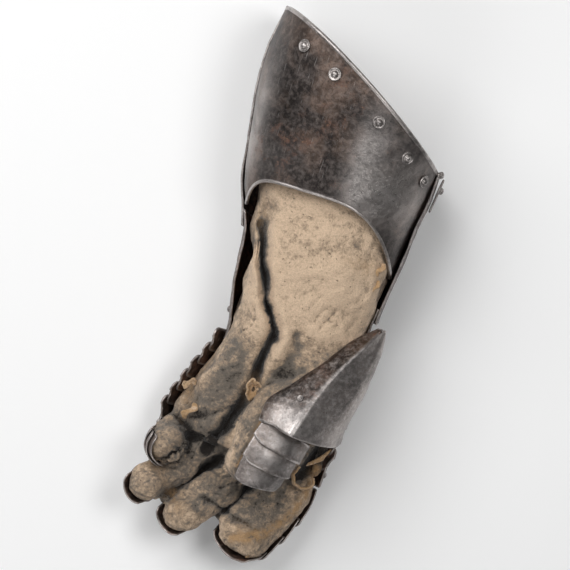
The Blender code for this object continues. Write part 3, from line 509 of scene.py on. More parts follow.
def form_point(y, angle, offset=0.0):
    """Point of the outer form: a squared ellipse round the arm, x and z the signed powers of the cosine
    and sine of the angle, with unlike halves below and above its widest line, moved out by the offset."""
    y, angle, offset = np.broadcast_arrays(np.asarray(y, float), angle, offset)
    shape = y.shape
    y, angle, offset = y.ravel(), angle.ravel(), offset.ravel()
    shift, half, floor, top = (smooth(FORM_Y, values, y)
                               for values in (FORM_SHIFT, FORM_HALF, FORM_FLOOR, FORM_TOP))
    middle = floor + WIDEST_AT * (top - floor)
    cos, sin = np.cos(angle), np.sin(angle)
    power = 2 / SQUARENESS
    tall = np.where(sin > 0, top - middle, middle - floor)
    x = half * np.sign(cos) * np.abs(cos) ** power
    z = tall * np.sign(sin) * np.abs(sin) ** power
    out_x = np.sign(x) * (np.abs(x) / half) ** (SQUARENESS - 1) / half
    out_z = np.sign(z) * (np.abs(z) / tall) ** (SQUARENESS - 1) / tall
    size = np.hypot(out_x, out_z)
    place = np.stack([shift + x + offset * out_x / size, y, middle + z + offset * out_z / size], axis=-1)
    return place.reshape(shape + (3,))


def mouth_y(angle, beyond=0.0):
    """Y of the cuff's slanted mouth: a line over x with a slight bow, found where it meets the form."""
    y = np.full(np.shape(angle), MOUTH_MIDDLE)
    for _ in range(6):
        across = 2 * form_point(y, angle)[..., 0] / MOUTH_WIDTH
        slant = math.tan(MOUTH_SLANT) * across * MOUTH_WIDTH / 2
        y = MOUTH_MIDDLE - slant + MOUTH_BOW * (1 - across**2) + beyond * np.clip(-across, 0.15, 1)
    return y


def outer_mouth_y(angle):
    """Y of the outer plate's mouth, which stands out past the inner plate's towards the tip."""
    return mouth_y(angle, TIP_OVERHANG)


def arch_y(angle):
    """Y of the inner plate's arched edge, which drops with a power of the cosine of the angle."""
    cos = np.cos(angle)
    return ARCH_MIDDLE - np.where(cos > 0, ARCH_DROP_THUMB * cos**2, ARCH_DROP_LITTLE * cos**8)


def wrist_edge_y(angle):
    """Y of the outer plate's wrist edge, slanted with the cosine of the angle."""
    return WRIST_EDGE - WRIST_EDGE_SLANT * np.cos(angle)


def outer_rest(y):
    """Offset of the outer plate's middle surface, larger near the wrist."""
    y = np.asarray(y, float)
    values = smooth([-CUFF_LENGTH, 0.30 * CUFF_LENGTH, 0.60 * CUFF_LENGTH, 2 * CUFF_LENGTH],
                    [OUTER_REST_WRIST] * 2 + [OUTER_REST_MOUTH] * 2, y.ravel())
    return values.reshape(y.shape)


def finger_rows(name):
    """A finger's middle line, half widths and half thicknesses, in metres."""
    return np.array([
        (row.side * HAND_WIDTH, -KNUCKLE_LINE - row.along * FINGER_REACH, row.rise * HAND_DEPTH,
         row.width * FINGER_WIDTH / 2, row.thick * FINGER_THICKNESS / 2) for row in FINGERS[name]])


def thumb_rows():
    """The thumb's middle line, half widths and half thicknesses, in metres."""
    return np.array([
        (row.side * HAND_WIDTH, row.along * HAND_LENGTH, row.rise * THUMB_RISE,
         row.width * THUMB_WIDTH / 2, row.thick * THUMB_WIDTH / 2) for row in THUMB])


def tube_point(rows, share, angle, offset=0.0):
    """Point of a bent tube: an ellipse square to a smooth middle line, whose sides point level."""
    share, angle, offset = np.broadcast_arrays(np.asarray(share, float), angle, offset)
    shape = share.shape
    share, angle, offset = share.ravel(), angle.ravel()[:, None], offset.ravel()
    steps = np.linalg.norm(np.diff(rows[:, :3], axis=0), axis=1)
    places = np.concatenate([[0], np.cumsum(steps)]) / steps.sum()

    def columns(first, last, at):
        return np.stack([smooth(places, rows[:, i], at) for i in range(first, last)], axis=-1)

    ahead = columns(0, 3, np.minimum(share + 0.02, 1.0))
    behind = columns(0, 3, np.maximum(share - 0.02, 0.0))
    heading = unit(ahead - behind)
    level = rows[-1, :2] - rows[0, :2]
    side = np.array([-level[1], level[0], 0.0]) / np.hypot(*level)
    side = unit(side - heading * (heading @ side)[:, None])
    upper = np.cross(heading, side)
    half, thick = (size[:, None] + offset[:, None] for size in columns(3, 5, share).T)
    place = columns(0, 3, share) + side * half * np.cos(angle) + upper * thick * np.sin(angle)
    return place.reshape(shape + (3,))


def thumb_arch(share, across):
    """Point of the thumb plate at a share of its length and across its crest, from -1 to 1: the sides
    fall from the crest with the sine across and one less the cosine down."""
    share, across = np.broadcast_arrays(np.asarray(share, float), across)
    along = [row.along * HAND_LENGTH for row in THUMB_PLATE][::-1]
    y = along[0] + share * (along[-1] - along[0])

    def column(name, size):
        values = [getattr(row, name) * size for row in THUMB_PLATE][::-1]
        return smooth(along, values, y.ravel()).reshape(y.shape)

    crest_x, crest_z = column("crest", HAND_WIDTH), column("crest_rise", THUMB_RISE)
    little = across < 0
    edge_x = np.where(little, column("little", HAND_WIDTH), column("thumb", HAND_WIDTH))
    edge_z = np.where(little, column("little_rise", THUMB_RISE), column("thumb_rise", THUMB_RISE))
    reach = np.abs(across)
    x = crest_x + (edge_x - crest_x) * np.sin(reach * math.pi / 2) ** 0.9
    z = crest_z + (edge_z - crest_z) * (0.35 * reach + 0.65 * (1 - np.cos(reach * math.pi / 2)))
    z = z + CREST_SHARPNESS * (np.exp(-reach / 0.16) - 0.55 * bell(reach, 0.22, 0.32))
    dip = THUMB_PLATE_DIP * HAND_LENGTH * np.clip(across + 0.35, 0, None) * np.clip(1 - across, 0, None)
    return np.stack([x, y - dip * (1 - share), z], axis=-1)


def ripple(points, size, seed, waves=28):
    """Smooth unevenness about size across: the sum of sine waves in fixed random directions."""
    chance = np.random.default_rng(seed)
    heading = unit(chance.normal(size=(waves, 3)))
    heading *= 2 * math.pi / (size * chance.uniform(0.7, 1.5, (waves, 1)))
    phase = chance.uniform(0, 2 * math.pi, waves)
    return np.sin(points @ heading.T + phase).sum(axis=-1) * math.sqrt(2 / waves)


def patches(rows, points):
    """Sum of soft patches seen from above: each falls off with the square of the distance."""
    plan = (points[..., :2] + WRIST_LINE[:2]) * MM
    return sum(row.amount * bell(plan[..., 0], row.reach_x, row.x) * bell(plan[..., 1], row.reach_y, row.y)
               for row in rows)


def placed(name, data):
    """A new object with the data, linked to the scene."""
    made = bpy.data.objects.new(name, data)
    bpy.context.scene.collection.objects.link(made)
    return made


def write_marks(mesh, rows):
    """Writes the marks of a mesh's vertices, a row of values for each mark."""
    for key, values in zip(MARKS, rows):
        layer = mesh.attributes.get(key) or mesh.attributes.new(key, "FLOAT", "POINT")
        layer.data.foreach_set("value", np.ascontiguousarray(values, np.float32))


class Parts:
    """Vertices, faces and marks of one piece, gathered before they become a mesh."""

    def __init__(self):
        self.points = []
        self.faces = []
        self.marks = []
        self.count = 0

    def add(self, points, quads, caps=(), **marks):
        """Takes a block of vertices with its four-sided faces and its caps, and marks for each vertex."""
        points = np.asarray(points, float).reshape(-1, 3)
        rows = [np.broadcast_to(np.ravel(marks.get(key, rest)), len(points)) for key, rest in MARKS.items()]
        self.points.append(points)
        self.marks.append(np.stack(rows))
        self.faces += (quads + self.count).tolist() + [(cap + self.count).tolist() for cap in caps]
        self.count += len(points)

    def mesh(self, name):
        """The gathered blocks as one mesh at their place, normals outwards, with their marks."""
        mesh = bpy.data.meshes.new(name)
        mesh.from_pydata((np.concatenate(self.points) + WRIST_LINE).tolist(), [], self.faces)
        write_marks(mesh, np.concatenate(self.marks, axis=1))
        tidy = bmesh.new()
        tidy.from_mesh(mesh)
        bmesh.ops.remove_doubles(tidy, verts=tidy.verts, dist=MERGE_DISTANCE)
        bmesh.ops.recalc_face_normals(tidy, faces=tidy.faces)
        tidy.to_mesh(mesh)
        tidy.free()
        mesh.shade_smooth()
        return mesh


def grid_normals(grid):
    """Unit normals of a grid: the cross product of its steps along the rows and the columns."""
    return unit(np.cross(np.gradient(grid, axis=0), np.gradient(grid, axis=1)))


def border_distance(grid):
    """Distance in millimetres of each point of a grid from the nearest of its four borders."""
    down = np.linalg.norm(np.diff(grid, axis=0), axis=-1).cumsum(axis=0)
    over = np.linalg.norm(np.diff(grid, axis=1), axis=-1).cumsum(axis=1)
    down = np.pad(down, ((1, 0), (0, 0)))
    over = np.pad(over, ((0, 0), (1, 0)))
    return MM * np.minimum(np.minimum(down, down[-1:] - down), np.minimum(over, over[:, -1:] - over))


def add_plate(parts, grid, wall, dent=0.0, seed=1, **marks):
    """A closed plate round a grid: outer and inner faces half a wall off the middle surface, joined by a
    rounded edge that stands out by a share of the wall. Marks given take the place of the edge's
    distance, no wear and no rust."""
    if dent:
        waves = ripple(grid, DENT_WIDTH, seed)
        waves += FINE_DENT_SHARE * ripple(grid, FINE_DENT_WIDTH, seed + 1)
        grid = grid + grid_normals(grid) * (dent * waves)[..., None]
    marks = {"edge": border_distance(grid), "worn": 0.0, "rusty": 0.0, **marks}
    edge, worn, rusty = (np.broadcast_to(marks[key], grid.shape[:2]).ravel() for key in MARKS)
    rows, columns = grid.shape[:2]
    count = rows * columns
    index = np.arange(count).reshape(rows, columns)
    quads = np.stack([index[:-1, :-1], index[1:, :-1], index[1:, 1:], index[:-1, 1:]], axis=-1)
    quads = quads.reshape(-1, 4)
    loop = np.concatenate([index[0, :-1], index[:-1, -1], index[-1, :0:-1], index[:0:-1, 0]])
    inside = np.pad(index[1:-1, 1:-1], 1, mode="edge").ravel()[loop]
    ring = 2 * count + np.arange(len(loop))
    after, ring_after = np.roll(loop, -1), np.roll(ring, -1)
    faces = np.concatenate([
        quads, quads[:, ::-1] + count,
        np.stack([loop, after, ring_after, ring], axis=-1),
        np.stack([ring, ring_after, after + count, loop + count], axis=-1)])
    flat = grid.reshape(-1, 3)
    off = grid_normals(grid).reshape(-1, 3) * wall / 2
    rim = flat[loop] + unit(flat[loop] - flat[inside]) * wall * EDGE_ROUND
    parts.add(np.concatenate([flat + off, flat - off, rim]), faces,
              edge=np.concatenate([edge, edge, 0 * edge[loop]]),
              worn=np.concatenate([worn, 0 * worn, worn[loop]]),
              rusty=np.concatenate([rusty, np.clip(rusty + INSIDE_RUST, 0, 1), rusty[loop]]))


def ring_quads(count, around):
    """Vertex numbers of a number of closed rings, and the faces between them."""
    index = np.arange(count * around).reshape(count, around)
    after = np.roll(index, -1, axis=1)
    return index, np.stack([index[:-1], after[:-1], after[1:], index[1:]], axis=-1).reshape(-1, 4)


def add_loft(parts, rings, **marks):
    """A closed loft through rings of points, with a flat cap on each end."""
    index, quads = ring_quads(*rings.shape[:2])
    parts.add(rings, quads, (index[0, ::-1], index[-1]), **marks)


def add_bar(parts, path, radius, worn, sides=12):
    """A round bar along a path: circles square to it, smaller at both ends, with flat caps."""
    ahead = unit(np.gradient(path, axis=0))
    first = unit(np.array([0.0, 1.0, 0.0]) - ahead * ahead[:, 1:2])[:, None]
    second = np.cross(ahead, first[:, 0])[:, None]
    turn = circle(sides)[None, :, None]
    size = np.full((len(path), 1, 1), radius)
    size[[0, -1]] *= 0.55
    add_loft(parts, path[:, None] + size * (first * np.cos(turn) + second * np.sin(turn)),
             edge=0.0, worn=worn)


def add_turned(parts, profile, seat, worn, steps=28):
    """A turned piece: a profile of radii and heights carried round the Z axis of its seat."""
    radius, height = np.array(profile).T[:, :, None]
    turn = circle(steps)
    ring = np.stack([radius * np.cos(turn), radius * np.sin(turn), height + 0 * turn], axis=-1)
    place, axes = seat
    _, quads = ring_quads(len(profile), steps)
    parts.add(place + ring @ axes, quads, worn=worn)


def seat_on(surface, first, second, side=1):
    """A seat on a surface of two parameters: its place, and rows for local X, Y and Z, where Z is square
    to the surface and side says which way it points."""
    place = surface(first, second)
    along = unit(surface(first + 0.0005, second) - place)
    over = surface(first, second + 0.005) - place
    out = side * unit(np.cross(along, over))
    return place, np.stack([np.cross(along, out), along, out])


def form_seat(y, degrees, lift):
    """A seat on the outer form moved out by the lift."""
    return seat_on(lambda first, second: form_point(first, second, lift), y, math.radians(degrees))


def finish(node, parts, look):
    """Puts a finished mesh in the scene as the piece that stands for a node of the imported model."""
    mesh = parts.mesh(f"fine_{node}") if isinstance(parts, Parts) else parts
    piece = placed(f"fine_{node}", mesh)
    mesh.materials.clear()
    mesh.materials.append(material_for(look))
    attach(piece, "root")
    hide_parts(node)


def plate_piece(name, look, grid, wall, dent=0.0, seed=1, bars=(), **marks):
    """A piece that is one plate, with bars along its edges, each a path, its radius and its wear."""
    parts = Parts()
    add_plate(parts, grid, wall, dent, seed, **marks)
    for bar in bars:
        add_bar(parts, *bar)
    finish(name, parts, look)


def turned_piece(name, profile, seat, worn):
    """A piece that is one turned rivet head."""
    parts = Parts()
    add_turned(parts, profile, seat, worn)
    finish(name, parts, "rivet iron")


def node(tree, kind, inputs=None, **settings):
    """A new node with its settings, and values or links on its inputs."""
    made = tree.nodes.new(kind)
    for key, value in settings.items():
        setattr(made, key, value)
    for key, value in (inputs or {}).items():
        if isinstance(value, bpy.types.NodeSocket):
            tree.links.new(value, made.inputs[key])
        else:
            made.inputs[key].default_value = value
    return made


def noises(tree, place, rows):
    """Noises from 0 to 1 at a place, one for each row of a table."""
    for row in rows:
        made = node(tree, "ShaderNodeTexNoise", {"Vector": place, "Scale": row.scale, "Detail": row.detail,
                                                 "Roughness": row.roughness, "Distortion": row.distortion})
        yield made.outputs["Fac"]


def maths(tree, operation, first, second=0.0, third=0.0):
    """The result of one operation on up to three numbers."""
    made = node(tree, "ShaderNodeMath", {0: first, 1: second, 2: third}, operation=operation)
    return made.outputs[0]


def times(tree, first, second):
    """The product of two numbers."""
    return maths(tree, "MULTIPLY", first, second)


def added(tree, *terms):
    """The sum of terms. Each is a number, or a number with its factor and, if need be, a number on top."""
    result = None
    for term in terms:
        value = maths(tree, "MULTIPLY_ADD", *term) if isinstance(term, tuple) else term
        result = value if result is None else maths(tree, "ADD", result, value)
    return result


def between(tree, value, low, high, start=0.0, end=1.0):
    """The value eased from start at low to end at high."""
    made = node(tree, "ShaderNodeMapRange", {"Value": value, "From Min": low, "From Max": high,
                                             "To Min": start, "To Max": end},
                interpolation_type="SMOOTHSTEP")
    return made.outputs["Result"]


def mixed(tree, share, first, second, blend="MIX"):
    """The first colour with a share of the second laid over it."""
    made = node(tree, "ShaderNodeMix", {0: share, 6: first, 7: second}, data_type="RGBA", blend_type=blend)
    return made.outputs[2]


def shaded(tree, colour, light):
    """The colour times a number."""
    grey = node(tree, "ShaderNodeCombineColor", {"Red": light, "Green": light, "Blue": light})
    return mixed(tree, 1.0, colour, grey.outputs["Color"], "MULTIPLY")


def new_group(name, colours, numbers):
    """A node group that takes colours, numbers, the place on the piece and its marks. Returns its tree
    and the sockets of its input node."""
    tree = bpy.data.node_groups.new(name, "ShaderNodeTree")
    inputs = [(key, "NodeSocketColor", tuple(value)) for key, value in colours.items()]
    inputs += [(key, "NodeSocketFloat", value) for key, value in numbers.items()]
    inputs += [("Place", "NodeSocketVector", (0.0, 0.0, 0.0))]
    inputs += [(key, "NodeSocketFloat", 0.0) for key in MARKS]
    for key, kind, value in inputs:
        tree.interface.new_socket(key, in_out="INPUT", socket_type=kind).default_value = value
    return tree, tree.nodes.new("NodeGroupInput").outputs


def close_group(tree, **results):
    """Gives the group an output for each result: a colour for Color, and numbers for the others."""
    for key in results:
        kind = "NodeSocketColor" if key == "Color" else "NodeSocketFloat"
        tree.interface.new_socket(key, in_out="OUTPUT", socket_type=kind)
    node(tree, "NodeGroupOutput", results)


def iron_group(colours):
    """Old iron: dark and brown clouds, rust in patches, rubbed bright at the edges and on places of wear,
    with painted sheen and highlights laid in as bright iron and painted shade laid in as rust where the
    marks carry them, and with fine pits and scratches in its height."""
    tree, entry = new_group("old iron", {
        "Dark": colours.iron_dark, "Brown": colours.iron_brown, "Bright": colours.iron_bright_and_sheen,
        "Rust": colours.rust}, {"Brownness": 0.5, "Rustiness": 0.3, "Wear": 0.3})
    place, edge, worn, rusty = (entry[key] for key in ("Place", *MARKS))
    cloud, fine, speck, bloom, grime, fleck = noises(tree, place, IRON_NOISES)
    brown = between(tree, added(tree, cloud, (entry["Brownness"], 0.3, -0.15)), 0.40, 0.58)
    base = mixed(tree, brown, entry["Dark"], entry["Brown"])
    base = shaded(tree, base, between(tree, grime, 0.42, 0.62, 0.60, 1.25))
    base = mixed(tree, between(tree, fine, 0.35, 0.75, 0.0, 0.30), base, entry["Brown"])
    # The rust mark also carries painted shade, on the thumb plate's left face.
    rust_at = added(tree, bloom, (rusty, 0.17, -0.12), (entry["Rustiness"], 0.08))
    rust = times(tree, between(tree, rust_at, 0.47, 0.72, 0.0, 0.90), between(tree, fine, 0.40, 0.58, 0.12))
    near_edge = between(tree, edge, 0.15, 1.5, 1.0, 0.0)
    edge_rub = times(tree, near_edge, between(tree, bloom, 0.30, 0.62, 0.15, 0.95))
    # Painted sheen: the wear mark brightens places of wear, and also the cuff's sheen bands and the thumb
    # plates' lit faces and highlights, which stand for light.
    sheen_and_wear_rub = times(tree, worn, between(tree, cloud, 0.25, 0.65, 0.35))
    fine_rub = times(tree, entry["Wear"], between(tree, fine, 0.42, 0.72))
    rub_and_sheen = maths(tree, "MINIMUM", added(tree, maths(tree, "MAXIMUM", edge_rub, sheen_and_wear_rub), fine_rub), 1.0)
    stretched = node(tree, "ShaderNodeMapping", {"Vector": place, "Rotation": (0.3, 0.2, 0.7),
                                                 "Scale": (1.0, 0.05, 0.3)}).outputs["Vector"]
    scratch = between(tree, *noises(tree, stretched, SCRATCH_NOISE), 0.66, 0.74)
    rub_and_sheen = maths(tree, "MAXIMUM", rub_and_sheen, times(tree, scratch, 0.35))
    painted = mixed(tree, times(tree, rub_and_sheen, 0.95), base, entry["Bright"])
    painted = mixed(tree, rust, painted, entry["Rust"])
    flecks = times(tree, rust, between(tree, fleck, 0.60, 0.68))
    painted = mixed(tree, times(tree, flecks, 0.7), painted, RUST_FLECK)
    painted = mixed(tree, between(tree, speck, 0.56, 0.70, 0.0, 0.5), painted, entry["Dark"])
    close_group(tree, Color=painted,
                Roughness=added(tree, between(tree, rub_and_sheen, 0.0, 1.0, 0.50, 0.33), (rust, 0.35),
                                between(tree, fine, 0.3, 0.7, -0.07, 0.09)),
                Metallic=added(tree, (rust, -0.7, 0.95)),
                Height=added(tree, (fine, 0.8), (between(tree, speck, 0.50, 0.68), -0.5), (bloom, 1.2),
                             (scratch, -0.25)))
    return tree


def leather_group(colours):
    """Old suede: paler on ridges and darker in hollows as painted shade, dark in stains and in the painted
    shade of creases and of faces turned down, ochre where it is torn, with a short nap, pores and small dark
    specks in its height."""
    tree, entry = new_group("old suede", {
        "Pale": colours.leather_pale, "Tan": colours.leather_tan, "Dark": colours.leather_dark_and_shade,
        "Ochre": colours.leather_ochre}, {"Dirt": 0.0, "Rawness": 0.0})
    place, hollow_shade, stain, ochre = (entry[key] for key in ("Place", *MARKS))
    cloud, mottle, grain, nap, speck = noises(tree, place, LEATHER_NOISES)
    pores = node(tree, "ShaderNodeTexVoronoi", {"Vector": place, "Scale": PORE_SCALE}).outputs["Distance"]
    # Painted shade: the mark of hollows, and the creases and down-facing faces in the mark of stains, darken
    # the leather here like its stains.
    dirt_and_shade = added(tree, stain, (hollow_shade, 0.9), entry["Dirt"], (cloud, 1.3, -0.65), (mottle, 1.5, -0.75),
                 (grain, 2.4, -1.2), (nap, 0.8, -0.40))
    base = mixed(tree, between(tree, dirt_and_shade, -0.15, 0.55), entry["Pale"], entry["Tan"])
    base = mixed(tree, between(tree, dirt_and_shade, 0.25, 1.20), base, entry["Dark"])
    # The most darkened leather turns near black: painted shadow in the deepest creases and the heaviest
    # stains, with the sooty specks below.
    soot_and_shade = mixed(tree, 1.0, entry["Dark"], SOOT_AND_SHADE, "MULTIPLY")
    base = mixed(tree, between(tree, dirt_and_shade, 1.25, 2.10), base, soot_and_shade)
    raw = added(tree, times(tree, ochre, between(tree, mottle, 0.32, 0.58)), entry["Rawness"])
    base = mixed(tree, maths(tree, "MINIMUM", raw, 0.85), base, entry["Ochre"])
    base = mixed(tree, between(tree, speck, 0.66, 0.76, 0.0, 0.70), base, soot_and_shade)
    close_group(tree, Color=shaded(tree, base, between(tree, nap, 0.32, 0.70, 0.84, 1.14)),
                Roughness=between(tree, dirt_and_shade, 0.2, 1.0, 0.92, 0.74),
                Height=added(tree, (nap, 0.5), (mottle, 1.6), (grain, 1.3), (pores, 0.35),
                             (between(tree, speck, 0.64, 0.74, 0.0, 0.5), -1.0)))
    return tree


def material_for(look):
    """The finish of that name, made when it is first asked for. Its shader takes its colour, roughness,
    metal and height from the node group of its kind."""
    title = "worn " + look
    if title in bpy.data.materials:
        return bpy.data.materials[title]
    kind = LOOK_KINDS["iron" if look.endswith("iron") else "leather"]
    build = iron_group if kind is LOOK_KINDS["iron"] else leather_group
    group = bpy.data.node_groups.get(kind.group) or build(bpy.context.scene.gauntlet_colours)
    material = bpy.data.materials.new(title)
    material.use_nodes = True
    tree = material.node_tree
    marks = {key: node(tree, "ShaderNodeAttribute", attribute_name=key).outputs["Fac"] for key in MARKS}
    place = node(tree, "ShaderNodeTexCoord").outputs["Object"]
    made = node(tree, "ShaderNodeGroup", None, node_tree=group)
    for key, value in kind.looks[look].items():
        made.inputs[key].default_value = value
    for key, socket in {"Place": place, **marks}.items():
        tree.links.new(socket, made.inputs[key])
    raised = node(tree, "ShaderNodeBump", {"Height": made.outputs["Height"], "Strength": 1.0,
                                           "Distance": kind.bump})
    results = {"Base Color": made.outputs["Color"], "Normal": raised.outputs["Normal"],
               "Roughness": made.outputs["Roughness"], "Metallic": made.outputs.get("Metallic")}
    shader = tree.nodes["Principled BSDF"]
    for key, socket in results.items():
        if socket:
            tree.links.new(socket, shader.inputs[key])
    for key, value in kind.shine.items():
        shader.inputs[key].default_value = value
    return material


def cuff_grid(arc, foot_of, head_of, rest_of, rows=90, columns=190):
    """Grid of a cuff plate's middle surface over an arc, from its wrist edge to its mouth."""
    along, angle = spread(rows, (0, 1), columns, np.radians(arc))
    y = foot_of(angle) + along * (head_of(angle) - foot_of(angle))
    return form_point(y, angle, rest_of(y))


def edge_path(y_of, rest, arc, count=180):
    """Points along a plate's edge over an arc."""
    angle = np.radians(np.linspace(*arc, count))
    return form_point(y_of(angle), angle, rest)


class GAUNTLET_OT_cuff(bpy.types.Operator):
    """Builds the two plates of the cuff with their rolled rims"""

    bl_idname = "gauntlet.cuff"
    bl_label = "Cuff plates"

    def execute(self, context):
        sizes = context.scene.gauntlet_sizes
        grid = cuff_grid(INNER_PLATE_ARC, arch_y, mouth_y, np.zeros_like)
        # Painted sheen: the inner plate's bright bands on its right half and along its left edge stand for
        # highlights, laid in its wear mark.
        plate_piece("cuff_inner_plate", "cuff iron", grid, sizes.cuff_wall, dent=sizes.dent_depth, seed=3,
                    worn=np.clip(patches(CUFF_PAINTED_SHEEN, grid), 0, 1),
                    rusty=np.clip(patches(CUFF_RUST, grid), 0, 1),
                    bars=[(edge_path(mouth_y, 0.0, INNER_RIM_ARC), sizes.roll_radius, 0.75),
                          (edge_path(arch_y, 0.0, INNER_RIM_ARC), sizes.turn_radius, 0.9)])
        grid = cuff_grid(OUTER_PLATE_ARC, wrist_edge_y, outer_mouth_y, outer_rest)
        rim = OUTER_REST_MOUTH - sizes.cuff_wall / 2 + sizes.roll_radius + RIM_GAP
        plate_piece("cuff_outer_plate", "cuff iron", grid, sizes.cuff_wall, dent=sizes.dent_depth, seed=8,
                    worn=0.12, rusty=0.30,
                    bars=[(edge_path(outer_mouth_y, rim, OUTER_RIM_ARC), sizes.roll_radius, 0.5)])
        return {"FINISHED"}


def dome(width, rise, base):
    """Half profile of a domed head on a base, from the top of the dome down."""
    turn = np.linspace(math.pi / 2, 0, 8)
    return [(max(width / 2 * math.cos(t), 0.0), base + rise * math.sin(t)) for t in turn]


class GAUNTLET_OT_rivets(bpy.types.Operator):
    """Builds the rivets of the cuff and of the hand plates, and the catch"""

    bl_idname = "gauntlet.rivets"
    bl_label = "Rivets and catch"

    def execute(self, context):
        sizes = context.scene.gauntlet_sizes
        half = sizes.cuff_wall / 2
        washer = dome(RIVET_WIDTH, RIVET_RISE + 0.0001, 0.0005) + WASHER_RIM
        head = dome(RIVET_WIDTH, RIVET_RISE, 0.0003) + [(RIVET_WIDTH / 2, 0.0), (0.0, 0.0)]
        for number, degrees in enumerate(CUFF_RIVETS_AT, 1):
            y = float(mouth_y(math.radians(degrees))) - RIVET_FROM_MOUTH
            turned_piece(f"cuff_rivet_{number}", washer, form_seat(y, degrees, half + RIVET_GAP), 0.6)
        for number, degrees in enumerate(CUFF_BACK_RIVETS_AT, 1):
            y = float(outer_mouth_y(math.radians(degrees))) - RIVET_FROM_MOUTH
            lift = float(outer_rest(y)) + half + RIVET_GAP
            turned_piece(f"cuff_back_rivet_{number}", head, form_seat(y, degrees, lift), 0.6)
        for name, (y, degrees, lift) in SIDE_RIVETS.items():
            turned_piece(name, head, form_seat(y, degrees, lift), 0.6)
        self.catch(sizes, half, head)
        return {"FINISHED"}

    def catch(self, sizes, half, head):
        """A leaf with a small lobe: its half width is a power of two sine arches along it."""
        y = float(outer_mouth_y(math.radians(CATCH_AT))) - CATCH_FROM_MOUTH - sizes.roll_radius
        lift = float(outer_rest(y)) + half + CATCH_LIFT
        along, over = spread(40, (0.02, 0.98), 11, (-1, 1))
        in_leaf = np.clip(along / CATCH_LOBE_FROM, 0, 1)
        in_lobe = np.clip((along - CATCH_LOBE_FROM) / (1 - CATCH_LOBE_FROM), 0, 1)
        leaf = np.sin(in_leaf * math.pi) ** 0.8
        lobe = 0.5 * np.sin(in_lobe * math.pi) ** 0.8
        wide = CATCH_WIDTH / 2 * np.maximum(np.maximum(leaf, lobe), 0.22)
        place, axes = form_seat(y, CATCH_AT, lift)
        local = np.stack([over * wide, (0.5 - along) * CATCH_LENGTH, 0.0004 * (1 - over**2)], axis=-1)
        plate_piece("cuff_catch", "cuff iron", place + local @ axes, CATCH_WALL, worn=0.35)
        seat = form_seat(y + CATCH_RIVET_FORWARD, CATCH_AT, lift + CATCH_RIVET_LIFT)
        turned_piece("cuff_catch_rivet", head, seat, 0.6)


def lame_grid(near, far, arc, rest_far, rest_near, rows=9, columns=150, flare=0.0):
    """Grid of a lame round the form: it rises towards its near edge, and its ends are rounded off and
    stand out a little."""
    along, turn = spread(rows, (0, 1), columns, np.radians(arc))
    from_end = np.degrees(np.minimum(turn - turn[0, 0], turn[0, -1] - turn))
    short = np.sqrt(1 - 0.94 * (1 - np.clip(from_end / 5, 0, 1)) ** 2)
    y = far + (near - far) * (0.5 + (along - 0.5) * short)
    bead = (0.0005 + flare) * bell(from_end, 7) + 0.00025 * bell(along, 0.16, 1)
    return form_point(y, turn, rest_far + (rest_near - rest_far) * along + bead)


class GAUNTLET_OT_hand(bpy.types.Operator):
    """Builds the wrist plate, the lames and the knuckle plate over the back of the hand"""

    bl_idname = "gauntlet.hand"
    bl_label = "Hand plates"

    def execute(self, context):
        sizes = context.scene.gauntlet_sizes
        along, angle = spread(60, (0, 1), 150, np.radians(WRIST_PLATE_ARC))
        far_end = -LAMES_START - LAME_LAP
        y = far_end + along * (wrist_edge_y(angle) + WRIST_TUCK - far_end)
        plate_piece("wrist_plate", "hand iron", form_point(y, angle, LAME_REST), sizes.lame_wall,
                    dent=sizes.dent_depth, seed=12, worn=0.05, rusty=0.5)
        rest_near = LAME_REST + LAME_STEP * (1 + LAME_LAP / LAME_PITCH)
        for number in range(LAME_COUNT):
            near = -LAMES_START - number * LAME_PITCH
            grid = lame_grid(near, near - LAME_PITCH - LAME_LAP, LAME_ARC, LAME_REST, rest_near,
                             flare=LAME_FLARE)
            plate_piece(f"hand_lame_{number + 1}", "hand iron", grid, sizes.lame_wall,
                        dent=0.4 * sizes.dent_depth, seed=20 + number, worn=0.38, rusty=0.40)
        rest = FLOOR_STACK - sizes.lame_wall / 2
        grid = lame_grid(-LAMES_END, -KNUCKLE_EDGE, KNUCKLE_ARC, rest, rest, rows=14)
        grid[..., 2] = np.maximum(grid[..., 2], sizes.lame_wall / 2)
        plate_piece("knuckle_plate", "hand iron", grid, sizes.lame_wall, worn=0.12, rusty=0.4)
        return {"FINISHED"}


def tube_lame_grid(tube, near, far, arc, rest_near, rest_far, rows=12, columns=48, flare=0.0):
    """Grid of a curved lame on a bent tube, with a rest for each end, rounded corners, and its last side
    standing out by the flare."""
    along, turn = spread(rows, (0, 1), columns, np.radians(arc))
    over = np.abs(2 * (turn - turn[0, 0]) / (turn[0, -1] - turn[0, 0]) - 1)
    curve = 0.16 * np.clip((over - 0.70) / 0.30, 0, 1) ** 2
    share = far + (near - far) * (along + curve * (1 - along))
    lip = 0.0002 * bell(along, 0.10) + flare * ease(math.radians(34), 0.0, turn[0, -1] - turn)
    return tube_point(tube, share, turn, rest_far + (rest_near - rest_far) * along + lip)


class GAUNTLET_OT_fingers(bpy.types.Operator):
    """Builds the overlapping scales on the backs of the fingers"""

    bl_idname = "gauntlet.fingers"
    bl_label = "Finger scales"

    def execute(self, context):
        sizes = context.scene.gauntlet_sizes
        for finger, row in FINGER_SCALES.items():
            pitch = (SCALE_END - row.start) / SCALE_COUNT
            arc = (row.middle - SCALE_SPREAD / 2, row.middle + SCALE_SPREAD / 2 + row.wrap)
            for number in range(SCALE_COUNT):
                near = row.start + number * pitch
                far = min(near + pitch * (1 + SCALE_LAP), 1.0)
                rest_far = SCALE_REST + SCALE_STEP * (far - near) / pitch
                grid = tube_lame_grid(finger_rows(finger), near, far, arc, SCALE_REST, rest_far,
                                      flare=SCALE_FLARE * row.wrap)
                plate_piece(f"{finger}_scale_{number + 1}", "scale iron", grid, sizes.scale_wall,
                            dent=0.3 * sizes.dent_depth, seed=40 + number, worn=0.12, rusty=0.4)
        return {"FINISHED"}


